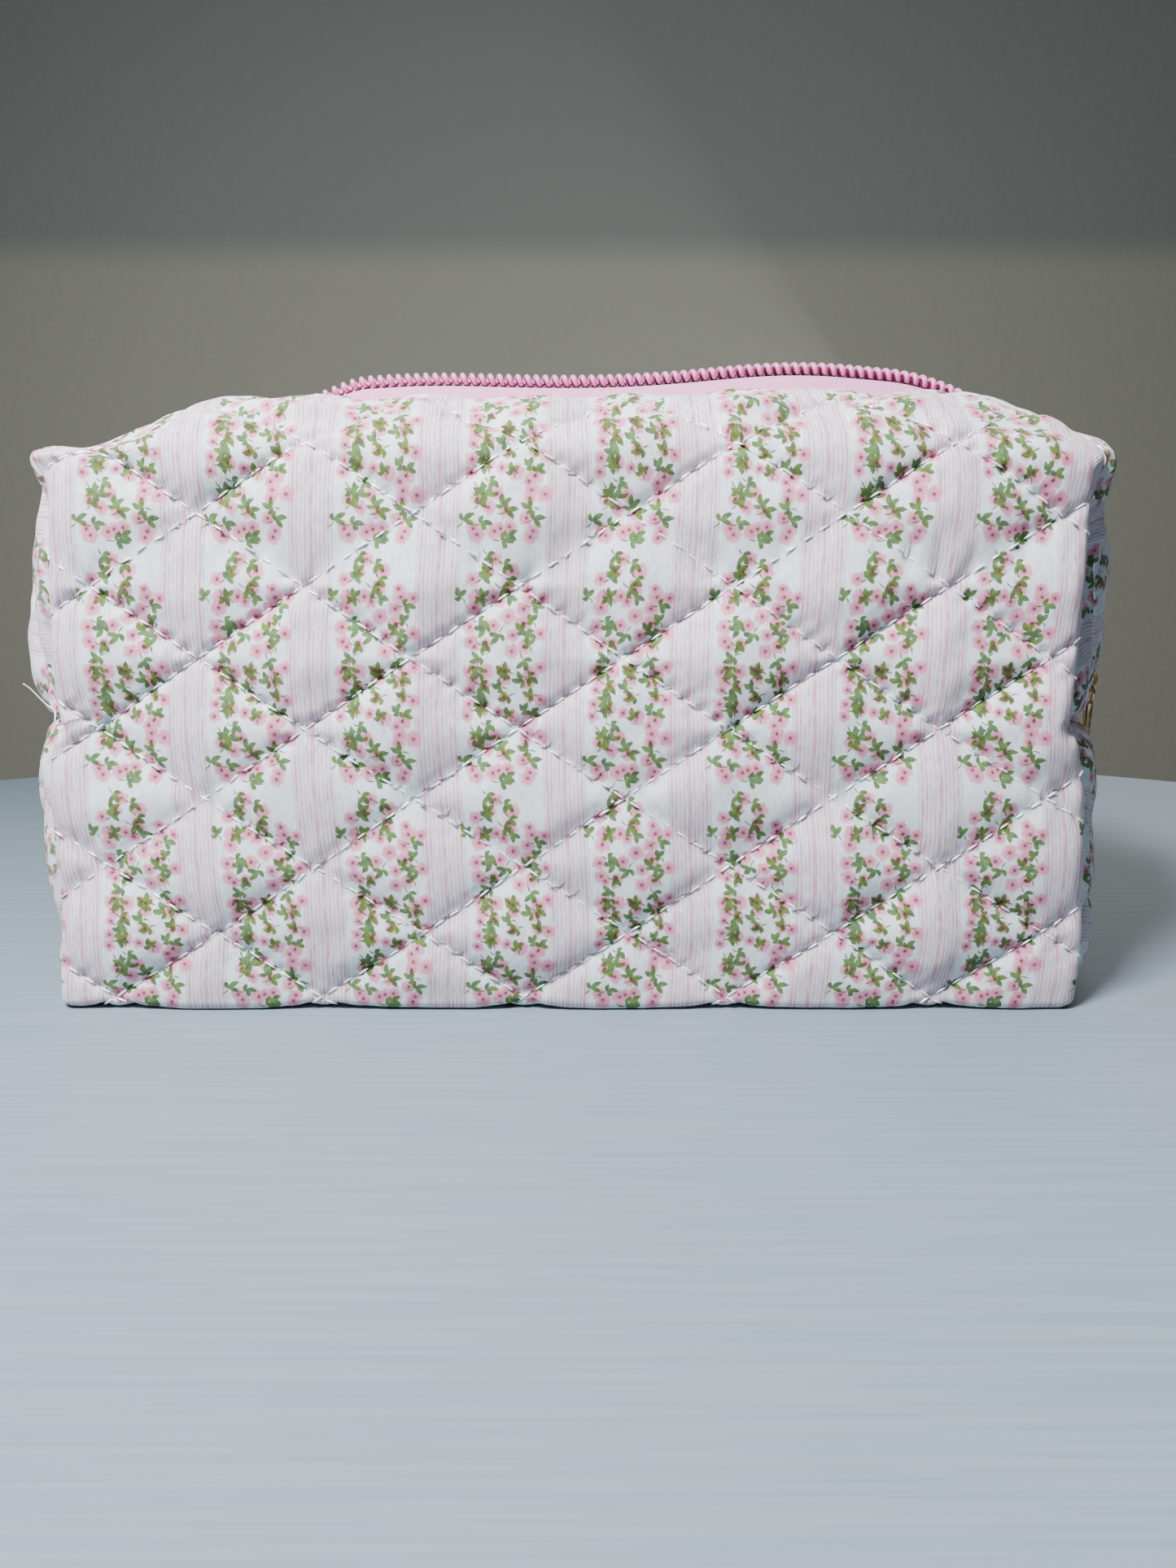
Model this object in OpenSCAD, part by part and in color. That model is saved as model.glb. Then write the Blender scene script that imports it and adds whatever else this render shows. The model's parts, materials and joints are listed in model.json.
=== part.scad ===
// Quilted boxy makeup bag with a coil zip over its top.
// X runs along the zip, Y from the front to the rear, Z up from the surface it stands on.

/* [Body] */
// Width of the front panel between its corner folds
front_w = 156; // [140:1:170]
// Depth from the front panel to the rear panel
body_d = 84; // [80:1:90]
// Height of the front and rear top folds
fold_h = 84; // [82:1:88]
// Rise of the top cloth from the folds to the zip
top_rise = 16; // [14:1:18]
// Height of the seam across each end
seam_h = 45; // [42:1:48]
// Distance that each end seam stands out past the corner folds
end_swell = 10; // [8:1:12]

/* [Quilting] */
// Thickness of the printed cloth
cloth_t = 0.8; // [0.6:0.1:1]
// Thickness of the wadding
wadding_t = 2.4; // [2:0.1:3]
// Thickness of the lining
lining_t = 0.8; // [0.6:0.1:1]

/* [Zip] */
// Radius of the zip where it turns down over each end
zip_r = 40; // [38:1:42]
// Height of the middle of the coils above the surface
zip_h = 104; // [103:0.5:105]
// Thickness of the coils
coil_t = 2.3; // [2:0.1:2.5]
// Gap between the two coils, which the slider's wedge runs in
coil_gap = 1.8; // [1.6:0.1:2]
// Half of the distance between the cloth edges along the zip
slot_half = 7.5; // [7:0.5:8]
// Thickness of the zip tape
tape_t = 0.5; // [0.4:0.1:0.6]

/* [Slider] */
// Length of the slider along the coils
slider_l = 10; // [8:0.5:10]
// Width of the slider across the coils
slider_w = 8.4; // [8.2:0.1:9]
// Angle of the closed slider below the middle of the end arc
slider_rest = 20; // [19:1:21]
// Length of the pull from its pin to its tip
pull_l = 17; // [14:0.5:20]
// Width of the drop at the pull's tip
drop_w = 6.5; // [5:0.5:8]

/* [Hidden] */

// Clearance between parts that move past each other
gap = 0.3;
wall_t = cloth_t + wadding_t + lining_t;
half_w = front_w / 2;
half_d = body_d / 2;
// Inner side of the front and rear walls, where the end pieces start
side_y = half_d - wall_t - 0.1;

// Each layer is a start and an end depth below the outer surface
cloth = [0, cloth_t];
wadding = [cloth_t, cloth_t + wadding_t];
lining = [cloth_t + wadding_t, wall_t];

// Middle of the arc on which the zip turns down over the right end
arc_x = 56.5;
arc_z = zip_h - zip_r;
seam_angle = asin((arc_z - seam_h) / zip_r);
// The horn is the corner where the top, the front and an end meet
horn_x = half_w;
horn_power = 5;
swell_r = (half_d * half_d + end_swell * end_swell) / (2 * end_swell);
swell_x = half_w + end_swell - swell_r;
// Outline steps
top_steps = 12;
end_steps = 16;
rows = 6;
columns = 5;

// Height of the top cloth's outer surface at depth y
function top_z(y) = fold_h + top_rise * pow(1 - pow(min(1, abs(y) / half_d), 1.5), 0.41);
// Length of the end seam's outer surface at depth y
function seam_x(y) = swell_x + sqrt(swell_r * swell_r - y * y);
// Furthest that the upper end reaches at depth y
function reach_x(y) =
    horn_x + (arc_x + zip_r - 1.6 - horn_x) * (1 - pow(abs(y) / half_d, 2));
// Roundness of the upper end's profile, from an arc at the zip to a squarer horn
function power(y) = 2 + (horn_power - 2) * pow(abs(y) / half_d, 3);
// Point of the upper end's outer surface: u is 0 at the seam, 0.3 at the arc's middle, 1 at the top
function end_point(y, u) =
    u < 0.3
    ? let (t = 1 - u / 0.3)
      [reach_x(y) - (reach_x(y) - seam_x(y)) * t * t, y, arc_z - (arc_z - seam_h) * t]
    : let (a = 90 * (u - 0.3) / 0.7, e = 2 / power(y))
      [arc_x + (reach_x(y) - arc_x) * pow(cos(a), e), y,
       arc_z + (top_z(y) - arc_z) * pow(sin(a), e)];
function unit(v) = v / norm(v);
// Outward normal of the upper end at y and u
function end_normal(y, u) =
    let (h = 0.02, lo = max(0, u - h), hi = min(1, u + h))
    unit(cross(end_point(y + 0.5, u) - end_point(y - 0.5, u),
               end_point(y, hi) - end_point(y, lo)));
function end_shell_point(y, u, depth) = end_point(y, u) - depth * end_normal(y, u);

// Side of the front panel's outline, which follows the upper end round the horn
function panel_side(count) = [for (i = [0 : count]) let (p = end_point(side_y, i / count)) [p[0], p[2]]];
function mirrored(points) = [for (i = [len(points) - 1 : -1 : 0]) [-points[i][0], points[i][1]]];

// Extrudes a YZ outline along X between two ends
module along_x(x0, x1) {
    translate([x0, 0, 0]) rotate([90, 0, 90]) linear_extrude(x1 - x0) children();
}

// One layer of the front panel
module front_panel(layer) {
    side = concat([[half_w - 2, wall_t]], panel_side(14));
    outline = concat(side, mirrored(side));
    translate([0, layer[1] - half_d, 0]) rotate([90, 0, 0]) linear_extrude(layer[1] - layer[0])
        polygon(outline);
}

// One layer of the base, with the swelling ends
module base(layer) {
    ends = [for (i = [0 : end_steps]) let (y = half_d * (2 * i / end_steps - 1)) [seam_x(y) - 1, y]];
    outline = concat(ends, [for (p = ends) [-p[0], -p[1]]]);
    translate([0, 0, layer[0]]) linear_extrude(layer[1] - layer[0]) polygon(outline);
}

// One layer of the right end below its seam
module end_lower(layer) {
    ys = [for (i = [0 : end_steps]) side_y * (2 * i / end_steps - 1)];
    outer = [for (y = ys) [seam_x(y) - layer[0], y]];
    inner = [for (i = [end_steps : -1 : 0]) [seam_x(ys[i]) - layer[1], ys[i]]];
    translate([0, 0, wall_t]) linear_extrude(seam_h - wall_t) polygon(concat(outer, inner));
}

// One layer of the right end above its seam, from the zip's slot to the rear wall
module end_quarter(layer) {
    count = (rows + 1) * (columns + 1);
    points = [for (depth = layer, i = [0 : rows], j = [0 : columns])
        end_shell_point(slot_half + (side_y - slot_half) * j / columns, i / rows, depth)];
    function at(side, i, j) = side * count + i * (columns + 1) + j;
    skins = [for (i = [0 : rows - 1], j = [0 : columns - 1]) each [
        [at(0, i, j), at(0, i + 1, j), at(0, i + 1, j + 1), at(0, i, j + 1)],
        [at(1, i, j), at(1, i, j + 1), at(1, i + 1, j + 1), at(1, i + 1, j)]]];
    sides = [for (i = [0 : rows - 1]) each [
        [at(0, i, 0), at(1, i, 0), at(1, i + 1, 0), at(0, i + 1, 0)],
        [at(0, i, columns), at(0, i + 1, columns), at(1, i + 1, columns), at(1, i, columns)]]];
    ends = [for (j = [0 : columns - 1]) each [
        [at(0, 0, j), at(0, 0, j + 1), at(1, 0, j + 1), at(1, 0, j)],
        [at(0, rows, j), at(1, rows, j), at(1, rows, j + 1), at(0, rows, j + 1)]]];
    polyhedron(points, [for (f = concat(skins, sides, ends)) each
        [[f[0], f[1], f[2]], [f[0], f[2], f[3]]]], convexity = 6);
}

module end_upper(layer) {
    end_quarter(layer);
    mirror([0, 1, 0]) end_quarter(layer);
}

// One layer of the front top flap, from its hinge line behind the fold to the zip's slot
module front_flap(layer) {
    hinge_y = side_y - gap;
    ys = [for (i = [0 : top_steps]) slot_half + (hinge_y - slot_half) * sin(90 * i / top_steps)];
    function skin_point(y, depth) = [-y, top_z(y) - depth];
    outer = [for (y = ys) skin_point(y, layer[0])];
    inner = [for (i = [top_steps : -1 : 0]) skin_point(ys[i], layer[1])];
    along_x(gap - arc_x, arc_x - gap) polygon(concat(outer, inner));
}

// Cross-section of the front half of the tape: distance from the arc's middle, then depth
module tape_section() {
    shoulder = 3;
    crown = zip_r - coil_t / 2 - tape_t;
    edge = crown - 3.2;
    polygon([[crown, -coil_gap / 2], [crown + tape_t, -coil_gap / 2], [crown + tape_t, -shoulder],
             [edge + tape_t, gap - slot_half], [edge, gap - slot_half], [crown, -shoulder]]);
}

// Cross-section of the front coil, rounded on top
module coil_section() {
    translate([zip_r, -(coil_gap + coil_t) / 2]) circle(d = coil_t, $fn = 16);
}

// Follows the top run of the zip, as part of a flap
module zip_run() {
    along_x(gap - arc_x, arc_x - gap)
        translate([0, arc_z]) mirror([1, -1]) children();
}

// Follows the arc of the zip over the right end, between two angles above the arc's middle
module zip_arc(low, high) {
    translate([arc_x, 0, arc_z]) rotate([90, 0, 0]) rotate([0, 0, low])
        rotate_extrude(angle = high - low, $fn = 120) children();
}

// Both halves of an end section, turned from (radius, depth) to (radius, height)
module both_halves() {
    children();
    mirror([0, 1]) children();
}

module right_binding() {
    binding_d = 8;
    binding_h = 3;
    ys = [for (i = [0 : end_steps]) (side_y - 2) * (2 * i / end_steps - 1)];
    outer = [for (y = ys) [seam_x(y) - wall_t - gap, y]];
    inner = [for (i = [end_steps : -1 : 0]) [seam_x(ys[i]) - wall_t - binding_d, ys[i]]];
    translate([0, 0, seam_h - wall_t - binding_h]) linear_extrude(binding_h)
        polygon(concat(outer, inner));
}

// Two plates joined by a wedge between the coils, with guide walls down from the outer plate
module slider_body() {
    span = slider_l / zip_r * 180 / PI;
    low = -slider_rest - span / 2;
    plate_t = 1.3;
    outer_r = zip_r + coil_t / 2 + 0.6;
    inner_r = zip_r - coil_t / 2 - tape_t - 0.5;
    color("khaki") union() {
        zip_arc(low, low + span) {
            translate([outer_r, -slider_w / 2]) square([plate_t, slider_w]);
            for (y = [-slider_w / 2, slider_w / 2 - 0.7])
                translate([outer_r - 2.2, y]) square([2.3, 0.7]);
            translate([inner_r - plate_t, -3]) square([plate_t, 6]);
        }
        zip_arc(low + span * 0.65, low + span * 0.95)
            translate([inner_r - 0.5, -0.5]) square([outer_r - inner_r + 1, 1]);
    }
}

// Arch that holds the pull
bridge_r = zip_r + coil_t / 2 + 1.9;
bridge_h = 1.5;
pin_r = bridge_r + bridge_h / 2;
module slider_bridge() {
    color("khaki") union() {
        zip_arc(-slider_rest - 5, -slider_rest + 5)
            translate([bridge_r + bridge_h, -0.9]) square([1, 1.8]);
        for (a = [-5, 3.6])
            zip_arc(-slider_rest + a, -slider_rest + a + 1.4)
                translate([bridge_r, -0.9]) square([bridge_h + 0.2, 1.8]);
    }
}

// Loop with a pin through the bridge, a flat neck and a drop, hanging straight down
module zip_pull() {
    wire = 0.9;
    loop_w = 4.4;
    loop_l = 5.5;
    x = arc_x + pin_r * cos(slider_rest);
    z = arc_z - pin_r * sin(slider_rest);
    color("khaki") translate([x, 0, z]) union() {
        rotate([90, 0, 0]) cylinder(h = loop_w, d = wire, center = true, $fn = 24);
        for (y = [-loop_w / 2, loop_w / 2 - wire])
            translate([-wire / 2, y, -loop_l]) cube([wire, wire, loop_l]);
        translate([-wire / 2, -loop_w / 2, -loop_l - wire]) cube([wire, loop_w, wire]);
        translate([-wire / 2, -1.2, -pull_l + drop_w / 2]) cube([wire, 2.4, pull_l - loop_l - drop_w / 2]);
        translate([-wire / 2 - 0.1, 0, -pull_l + drop_w / 2]) rotate([0, 90, 0])
            cylinder(h = wire + 0.2, d = drop_w, $fn = 32);
    }
}

module left() {
    mirror([1, 0, 0]) children();
}

module rear() {
    mirror([0, 1, 0]) children();
}

color("white") front_panel(cloth);  // front_panel_cloth
color("ivory") front_panel(wadding);  // front_panel_wadding
color("mistyrose") front_panel(lining);  // front_panel_lining
color("white") rear() front_panel(cloth);  // rear_panel_cloth
color("ivory") rear() front_panel(wadding);  // rear_panel_wadding
color("mistyrose") rear() front_panel(lining);  // rear_panel_lining
color("white") base(cloth);  // base_cloth
color("ivory") base(wadding);  // base_wadding
color("mistyrose") base(lining);  // base_lining
color("white") end_lower(cloth);  // right_end_lower_cloth
color("ivory") end_lower(wadding);  // right_end_lower_wadding
color("mistyrose") end_lower(lining);  // right_end_lower_lining
color("white") left() end_lower(cloth);  // left_end_lower_cloth
color("ivory") left() end_lower(wadding);  // left_end_lower_wadding
color("mistyrose") left() end_lower(lining);  // left_end_lower_lining
color("white") end_upper(cloth);  // right_end_upper_cloth
color("ivory") end_upper(wadding);  // right_end_upper_wadding
color("mistyrose") end_upper(lining);  // right_end_upper_lining
color("white") left() end_upper(cloth);  // left_end_upper_cloth
color("ivory") left() end_upper(wadding);  // left_end_upper_wadding
color("mistyrose") left() end_upper(lining);  // left_end_upper_lining
color("white") front_flap(cloth);  // front_flap_cloth
color("ivory") front_flap(wadding);  // front_flap_wadding
color("mistyrose") front_flap(lining);  // front_flap_lining
color("white") rear() front_flap(cloth);  // rear_flap_cloth
color("ivory") rear() front_flap(wadding);  // rear_flap_wadding
color("mistyrose") rear() front_flap(lining);  // rear_flap_lining
color("pink") zip_run() tape_section();  // front_zip_tape
color("pink") rear() zip_run() tape_section();  // rear_zip_tape
color("pink") zip_arc(-seam_angle, 90) both_halves() tape_section();  // right_end_zip_tapes
color("pink") left() zip_arc(-seam_angle, 90) both_halves() tape_section();  // left_end_zip_tapes
color("orchid") zip_run() coil_section();  // front_zip_coil
color("orchid") rear() zip_run() coil_section();  // rear_zip_coil
color("orchid") zip_arc(-seam_angle, 90) both_halves() coil_section();  // right_end_zip_coils
color("orchid") left() zip_arc(-seam_angle, 90) both_halves() coil_section();  // left_end_zip_coils
color("mistyrose") right_binding();  // right_seam_binding
color("mistyrose") left() right_binding();  // left_seam_binding
slider_body();
slider_bridge();
zip_pull();
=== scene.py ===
import json
import math
import random

import bpy
import numpy as np
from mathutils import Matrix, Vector
from mathutils.bvhtree import BVHTree
from mathutils.geometry import barycentric_transform

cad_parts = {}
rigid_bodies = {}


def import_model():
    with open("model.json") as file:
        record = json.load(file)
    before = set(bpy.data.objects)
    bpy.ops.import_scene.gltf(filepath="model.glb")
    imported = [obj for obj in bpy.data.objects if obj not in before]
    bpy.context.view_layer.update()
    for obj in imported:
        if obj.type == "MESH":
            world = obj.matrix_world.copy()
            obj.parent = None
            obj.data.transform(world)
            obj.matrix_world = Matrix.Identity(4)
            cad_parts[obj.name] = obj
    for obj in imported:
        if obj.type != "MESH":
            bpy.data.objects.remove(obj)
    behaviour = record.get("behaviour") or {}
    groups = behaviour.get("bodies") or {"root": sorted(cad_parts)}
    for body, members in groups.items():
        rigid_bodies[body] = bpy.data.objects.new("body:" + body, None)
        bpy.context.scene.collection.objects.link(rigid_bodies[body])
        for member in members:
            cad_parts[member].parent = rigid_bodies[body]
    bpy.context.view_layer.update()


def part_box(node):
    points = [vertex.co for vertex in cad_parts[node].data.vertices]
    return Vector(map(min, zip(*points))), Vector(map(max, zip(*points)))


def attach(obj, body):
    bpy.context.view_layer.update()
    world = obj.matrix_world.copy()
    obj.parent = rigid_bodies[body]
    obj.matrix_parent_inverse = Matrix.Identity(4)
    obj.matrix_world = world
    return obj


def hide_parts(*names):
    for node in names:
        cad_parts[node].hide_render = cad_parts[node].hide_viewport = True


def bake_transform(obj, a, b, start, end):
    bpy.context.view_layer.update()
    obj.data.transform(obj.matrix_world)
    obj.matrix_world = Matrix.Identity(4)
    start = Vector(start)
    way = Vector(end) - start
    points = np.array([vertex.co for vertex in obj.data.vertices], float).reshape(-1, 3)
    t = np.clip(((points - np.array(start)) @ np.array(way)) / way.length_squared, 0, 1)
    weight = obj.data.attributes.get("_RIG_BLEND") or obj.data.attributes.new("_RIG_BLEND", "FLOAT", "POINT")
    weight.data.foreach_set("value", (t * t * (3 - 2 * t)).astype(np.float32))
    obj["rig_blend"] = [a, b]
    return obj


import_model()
mm = 0.001
fullTurn = 2 * math.pi


def boxOf(node):
    low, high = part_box(node)
    return [c / mm for c in low], [c / mm for c in high]


# Shape of the whole bag, in millimetres, taken from the frame where the frame has it
bag = {
    "halfDepth": -boxOf("front_panel_cloth")[0][1],
    "hingeY": -boxOf("front_panel_lining")[1][1] - 0.1,  # where walls end and flaps begin
    "slotHalf": -boxOf("front_flap_cloth")[1][1],
    "arcX": boxOf("front_flap_cloth")[1][0] + 0.3,
    "seamZ": boxOf("right_end_lower_cloth")[1][2],
    "zipTop": boxOf("front_zip_coil")[1][2],
    "arcZ": 64.0,
    "foldZ": 84.0,
    "rise": 16.0,
    "reach": 94.9,  # furthest point of the upper end, at the zip
    "halfWidth": 77.0,  # the same at the corner folds
    "bottomSide": 80.3,
    "bottomEnd": 87.0,
    "lobeSide": 79.0,
    "lobeEnd": 93.0,
    "seamSide": 75.5,
    "seamEnd": 88.5,
    "hornU": 2.42,  # how far round the corner the front panel's side runs
    "hornPower": 5.0,
    "hornFlare": 6.0,
    "hornZ": 88.5,
    "hornSpread": 5.5,
    "sideRound": 2.4,
    "bottomRound": 1.6,
    "topRound": 7.2,
    "bulge": 1.6,
    "wall": 3.4,
    "overlap": 0.25,  # of the two halves of a flap, and of the zip's halves
}
bag["zipR"] = bag["zipTop"] - 1.15 - bag["arcZ"]

quilting = {
    "stepU": 32.2,
    "stepV": 21.5,
    "nodeU": -7.0,
    "nodeV": 66.6,
    "puff": 1.7,
    "groove": 0.8,
    "pitch": 2.9,  # of the stitches
    "stitch": 2.15,  # length of one of them
    "edgePitch": 2.6,  # of the stitches beside the zip
    "edgeInset": 1.8,
    "thread": 0.38,
    "uneven": 0.16,  # how much the puffs differ in height
}
quilting["spacing"] = quilting["stepV"] * math.cos(math.atan(quilting["stepV"] / quilting["stepU"]))


# The bag's outer surface
def share(y):
    return np.clip(1 - (np.abs(y) / bag["halfDepth"]) ** 2, 0, 1)


def between(low, high, y, power=1.0):
    return low + (high - low) * share(y) ** power


def smooth(low, high, x):
    t = np.clip((x - low) / (high - low), 0, 1)
    return t * t * (3 - 2 * t)


def topZ(y):
    part = np.clip(np.abs(y) / bag["halfDepth"], 0, 1)
    return bag["foldZ"] + bag["rise"] * (1 - part ** 1.5) ** 0.41


def endPoint(y, u):
    # Right end at depth y: u is 0 at the base, 1 at the end seam, 2 at the arc's middle and 3 on top
    y, u = np.broadcast_arrays(np.asarray(y, float), np.asarray(u, float))
    seamZ, arcX, arcZ = bag["seamZ"], bag["arcX"], bag["arcZ"]
    bottom = between(bag["bottomSide"], bag["bottomEnd"], y)
    lobe = between(bag["lobeSide"], bag["lobeEnd"], y)
    seam = between(bag["seamSide"], bag["seamEnd"], y)
    reach = between(bag["halfWidth"], bag["reach"], y, 1.3)
    t0 = np.clip(u, 0, 1)
    z0 = seamZ * (0.5 - 0.5 * np.cos(np.pi * t0))
    edge = bottom + (seam - bottom) * smooth(0.3, 0.7, t0)
    x0 = edge + (lobe - edge).clip(0.5) * np.sqrt((1 - np.abs(2 * z0 / seamZ - 1) ** 3).clip(0))
    t1 = np.clip(u - 1, 0, 1) ** 1.5
    z1 = seamZ + (arcZ - seamZ) * t1
    x1 = seam + (reach - seam) * np.sqrt((1 - (1 - t1) ** 3).clip(0))
    angle = np.clip(u - 2, 0, 1) * np.pi / 2
    power = 2 + (bag["hornPower"] - 2) * (np.abs(y) / bag["halfDepth"]) ** 3
    x2 = arcX + (reach - arcX) * np.cos(angle).clip(0, 1) ** (2 / power)
    z2 = arcZ + (topZ(y) - arcZ) * np.sin(angle).clip(0, 1) ** (2 / power)
    x = np.where(u < 1, x0, np.where(u < 2, x1, x2))
    z = np.where(u < 1, z0, np.where(u < 2, z1, z2))
    flare = bag["hornFlare"] * smooth(20, bag["hingeY"], np.abs(y)) * smooth(arcX + 4, 74, x)
    x = x + flare * np.exp(-(((z - bag["hornZ"]) / bag["hornSpread"]) ** 2))
    return np.stack([x, y, z], -1)


# Slack and lift of the soft bag; each lump is a height, the x it lies at and its width
settling = {
    "leftSag": (7.8, -74, 11.5),
    "rightSag": (1.2, 78, 10),
    "crown": ((1.5, 40, 18), (-0.7, 0, 22), (-1.0, -42, 12)),
    "besideZip": 2.4,
    "zipDipLeft": 4.6,
    "zipDipRight": 0.25,
}


def lump(x, height, place, width):
    return height * np.exp(-(((x - place) / width) ** 2))


def settle(p):
    # The soft bag isn't quite even: its crown lifts right of the middle and its walls wander
    x, y, z = p[..., 0], p[..., 1], p[..., 2]
    awayX, awayY = np.abs(x), np.abs(y)
    high = smooth(60, 98, z) * share(y) * smooth(80, 45, awayX)
    cornerSag = lump(x, *settling["leftSag"]) * smooth(84, 98, z)
    cornerSag = cornerSag + lump(x, *settling["rightSag"]) * smooth(70, 88, z)
    dips = settling["zipDipLeft"] * smooth(-36, -52, x) + settling["zipDipRight"] * smooth(56, 68, x)
    zipDip = dips * np.exp(-((y / 9) ** 2)) * smooth(70, 92, z)
    crown = sum(lump(x, *shape) for shape in settling["crown"])
    calm = smooth(0, 14, z) * smooth(100, 80, z)
    slope = smooth(5.5, 8.5, awayY) * smooth(30, 14, awayY)
    besideZip = settling["besideZip"] * slope * smooth(64, 48, awayX) * smooth(80, 90, z)
    out = p.copy()
    out[..., 2] = np.maximum(z + crown * high - cornerSag - zipDip - besideZip, 0.02)
    out[..., 0] = x + calm * 0.6 * np.sin(z / 13.0 + 1.0)
    out[..., 1] = y + calm * (0.5 * np.sin(x / 17.0 + 0.6) + 0.4 * np.sin(x / 9.0 - z / 12.0))
    return out


# Flat cloth: columns of the print run along v, and the quilting lattice is laid out in u and v
wrapY = np.linspace(bag["hingeY"], 0, 800)
wrapLength = np.concatenate([[0], np.cumsum(np.hypot(np.diff(wrapY), np.diff(topZ(wrapY))))])
hingeV = topZ(bag["hingeY"]) + 1.1


def flapV(y):
    return hingeV + np.interp(bag["hingeY"] - np.abs(y), bag["hingeY"] - wrapY, wrapLength)


def lattice(u, v):
    a = (u - quilting["nodeU"]) / quilting["stepU"]
    b = (v - quilting["nodeV"]) / quilting["stepV"]
    return a - b, a + b


def latticeDistance(u, v):
    near = [np.abs((f + 0.5) % 1 - 0.5) * quilting["spacing"] for f in lattice(u, v)]
    return near[0], near[1]


def waves(u, v, length, seed):
    rng = np.random.default_rng(seed)
    total = np.zeros(np.shape(u))
    for _ in range(7):
        angle, phase = rng.uniform(0, 2 * np.pi, 2)
        k = 2 * np.pi / (length * rng.uniform(0.7, 1.5))
        total = total + np.sin(k * (u * np.cos(angle) + v * np.sin(angle)) + phase)
    return total / 7 ** 0.5


def quiltHeight(u, v):
    # Puffs between the stitch lines, a groove that dips at each stitch, then fine wrinkles
    near, far = latticeDistance(u, v)
    d = np.minimum(near, far)
    half = quilting["spacing"] / 2
    deeper = np.clip(np.maximum(near, far) / half, 0, 1)
    pillow = (1 - (1 - np.clip(d / half, 0, 1)) ** 2.4) * (0.82 + 0.18 * deeper)
    size = quilting["puff"] * (1 + quilting["uneven"] * waves(u, v, 45, 3))
    along = np.where(near < far, lattice(u, v)[1], lattice(u, v)[0])
    run = along * math.hypot(quilting["stepU"], quilting["stepV"]) / 2
    beat = np.cos(2 * np.pi * run / quilting["pitch"])
    height = size * pillow
    height = height - quilting["groove"] * np.exp(-((d / 0.55) ** 2)) * (0.75 - 0.35 * beat)
    height = height + 0.10 * beat * np.exp(-(((d - 1.4) / 1.2) ** 2))
    height = height + 0.13 * waves(u, v, 7.5, 5) * np.clip(d / 3, 0.3, 1)
    pucker = 0.5 * waves(u * 0.45, v, 5.5, 12) * np.exp(-(((v - hingeV - 3) / 6) ** 2))
    return height + 0.22 * waves(u, v, 19, 8) + pucker


def normalsOf(grid):
    du = np.gradient(grid, axis=0)
    dv = np.gradient(grid, axis=1)
    n = np.cross(du, dv)
    return n / np.linalg.norm(n, axis=-1, keepdims=True).clip(1e-9)


def edgeDense(count, ease=0.5):
    t = np.linspace(0, 1, count)
    return t - ease * np.sin(2 * np.pi * t) / (2 * np.pi)


def makeMesh(name, points, faces, uv, materials, smoothShade=True):
    mesh = bpy.data.meshes.new(name)
    mesh.vertices.add(len(points))
    mesh.vertices.foreach_set("co", (np.asarray(points, float) * mm).astype(np.float32).ravel())
    faces = np.asarray(faces, np.int32)
    sides = faces.shape[1]
    mesh.loops.add(faces.size)
    mesh.loops.foreach_set("vertex_index", faces.ravel())
    mesh.polygons.add(len(faces))
    mesh.polygons.foreach_set("loop_start", np.arange(0, faces.size, sides, dtype=np.int32))
    mesh.update(calc_edges=True)
    mesh.polygons.foreach_set("use_smooth", np.full(len(faces), smoothShade))
    if uv is not None:
        layer = mesh.uv_layers.new(name="UVMap")
        flat = np.asarray(uv, float) * mm
        layer.data.foreach_set("uv", flat[faces.ravel()].astype(np.float32).ravel())
    for m in materials:
        mesh.materials.append(m)
    mesh.validate()
    obj = bpy.data.objects.new(name, mesh)
    bpy.context.scene.collection.objects.link(obj)
    return obj


def ringOf(rows, columns):
    index = np.arange(rows * columns).reshape(rows, columns)
    return np.concatenate([index[:-1, 0], index[-1, :-1], index[:0:-1, -1], index[0, :0:-1]])


def closedGrid(name, outer, inner, uv, materials):
    # A pad between two grids of points, with a rim round the border; outer's normals point outward
    rows, columns = outer.shape[:2]
    index = np.arange(rows * columns).reshape(rows, columns)
    a, b, c, d = index[:-1, :-1], index[1:, :-1], index[1:, 1:], index[:-1, 1:]
    top = np.stack([a, b, c, d], -1).reshape(-1, 4)
    count = rows * columns
    bottom = top[:, ::-1] + count
    ring = ringOf(rows, columns)
    after = np.roll(ring, -1)
    rim = np.stack([after, ring, ring + count, after + count], -1)
    points = np.concatenate([outer.reshape(-1, 3), inner.reshape(-1, 3)])
    both = np.concatenate([uv.reshape(-1, 2)] * 2)
    obj = makeMesh(name, points, np.concatenate([top, bottom, rim]), both, materials)
    sharpen(obj, [(int(i), int(j)) for i, j in zip(ring, after)])
    return obj


def sharpen(obj, pairs):
    wanted = {tuple(sorted(p)) for p in pairs}
    attributes = obj.data.attributes
    sharp = attributes.get("sharp_edge") or attributes.new("sharp_edge", "BOOLEAN", "EDGE")
    keys = np.zeros(len(obj.data.edges) * 2, np.int32)
    obj.data.edges.foreach_get("vertices", keys)
    keys = np.sort(keys.reshape(-1, 2), 1)
    sharp.data.foreach_set("value", np.array([(int(a), int(b)) in wanted for a, b in keys]))


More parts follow.
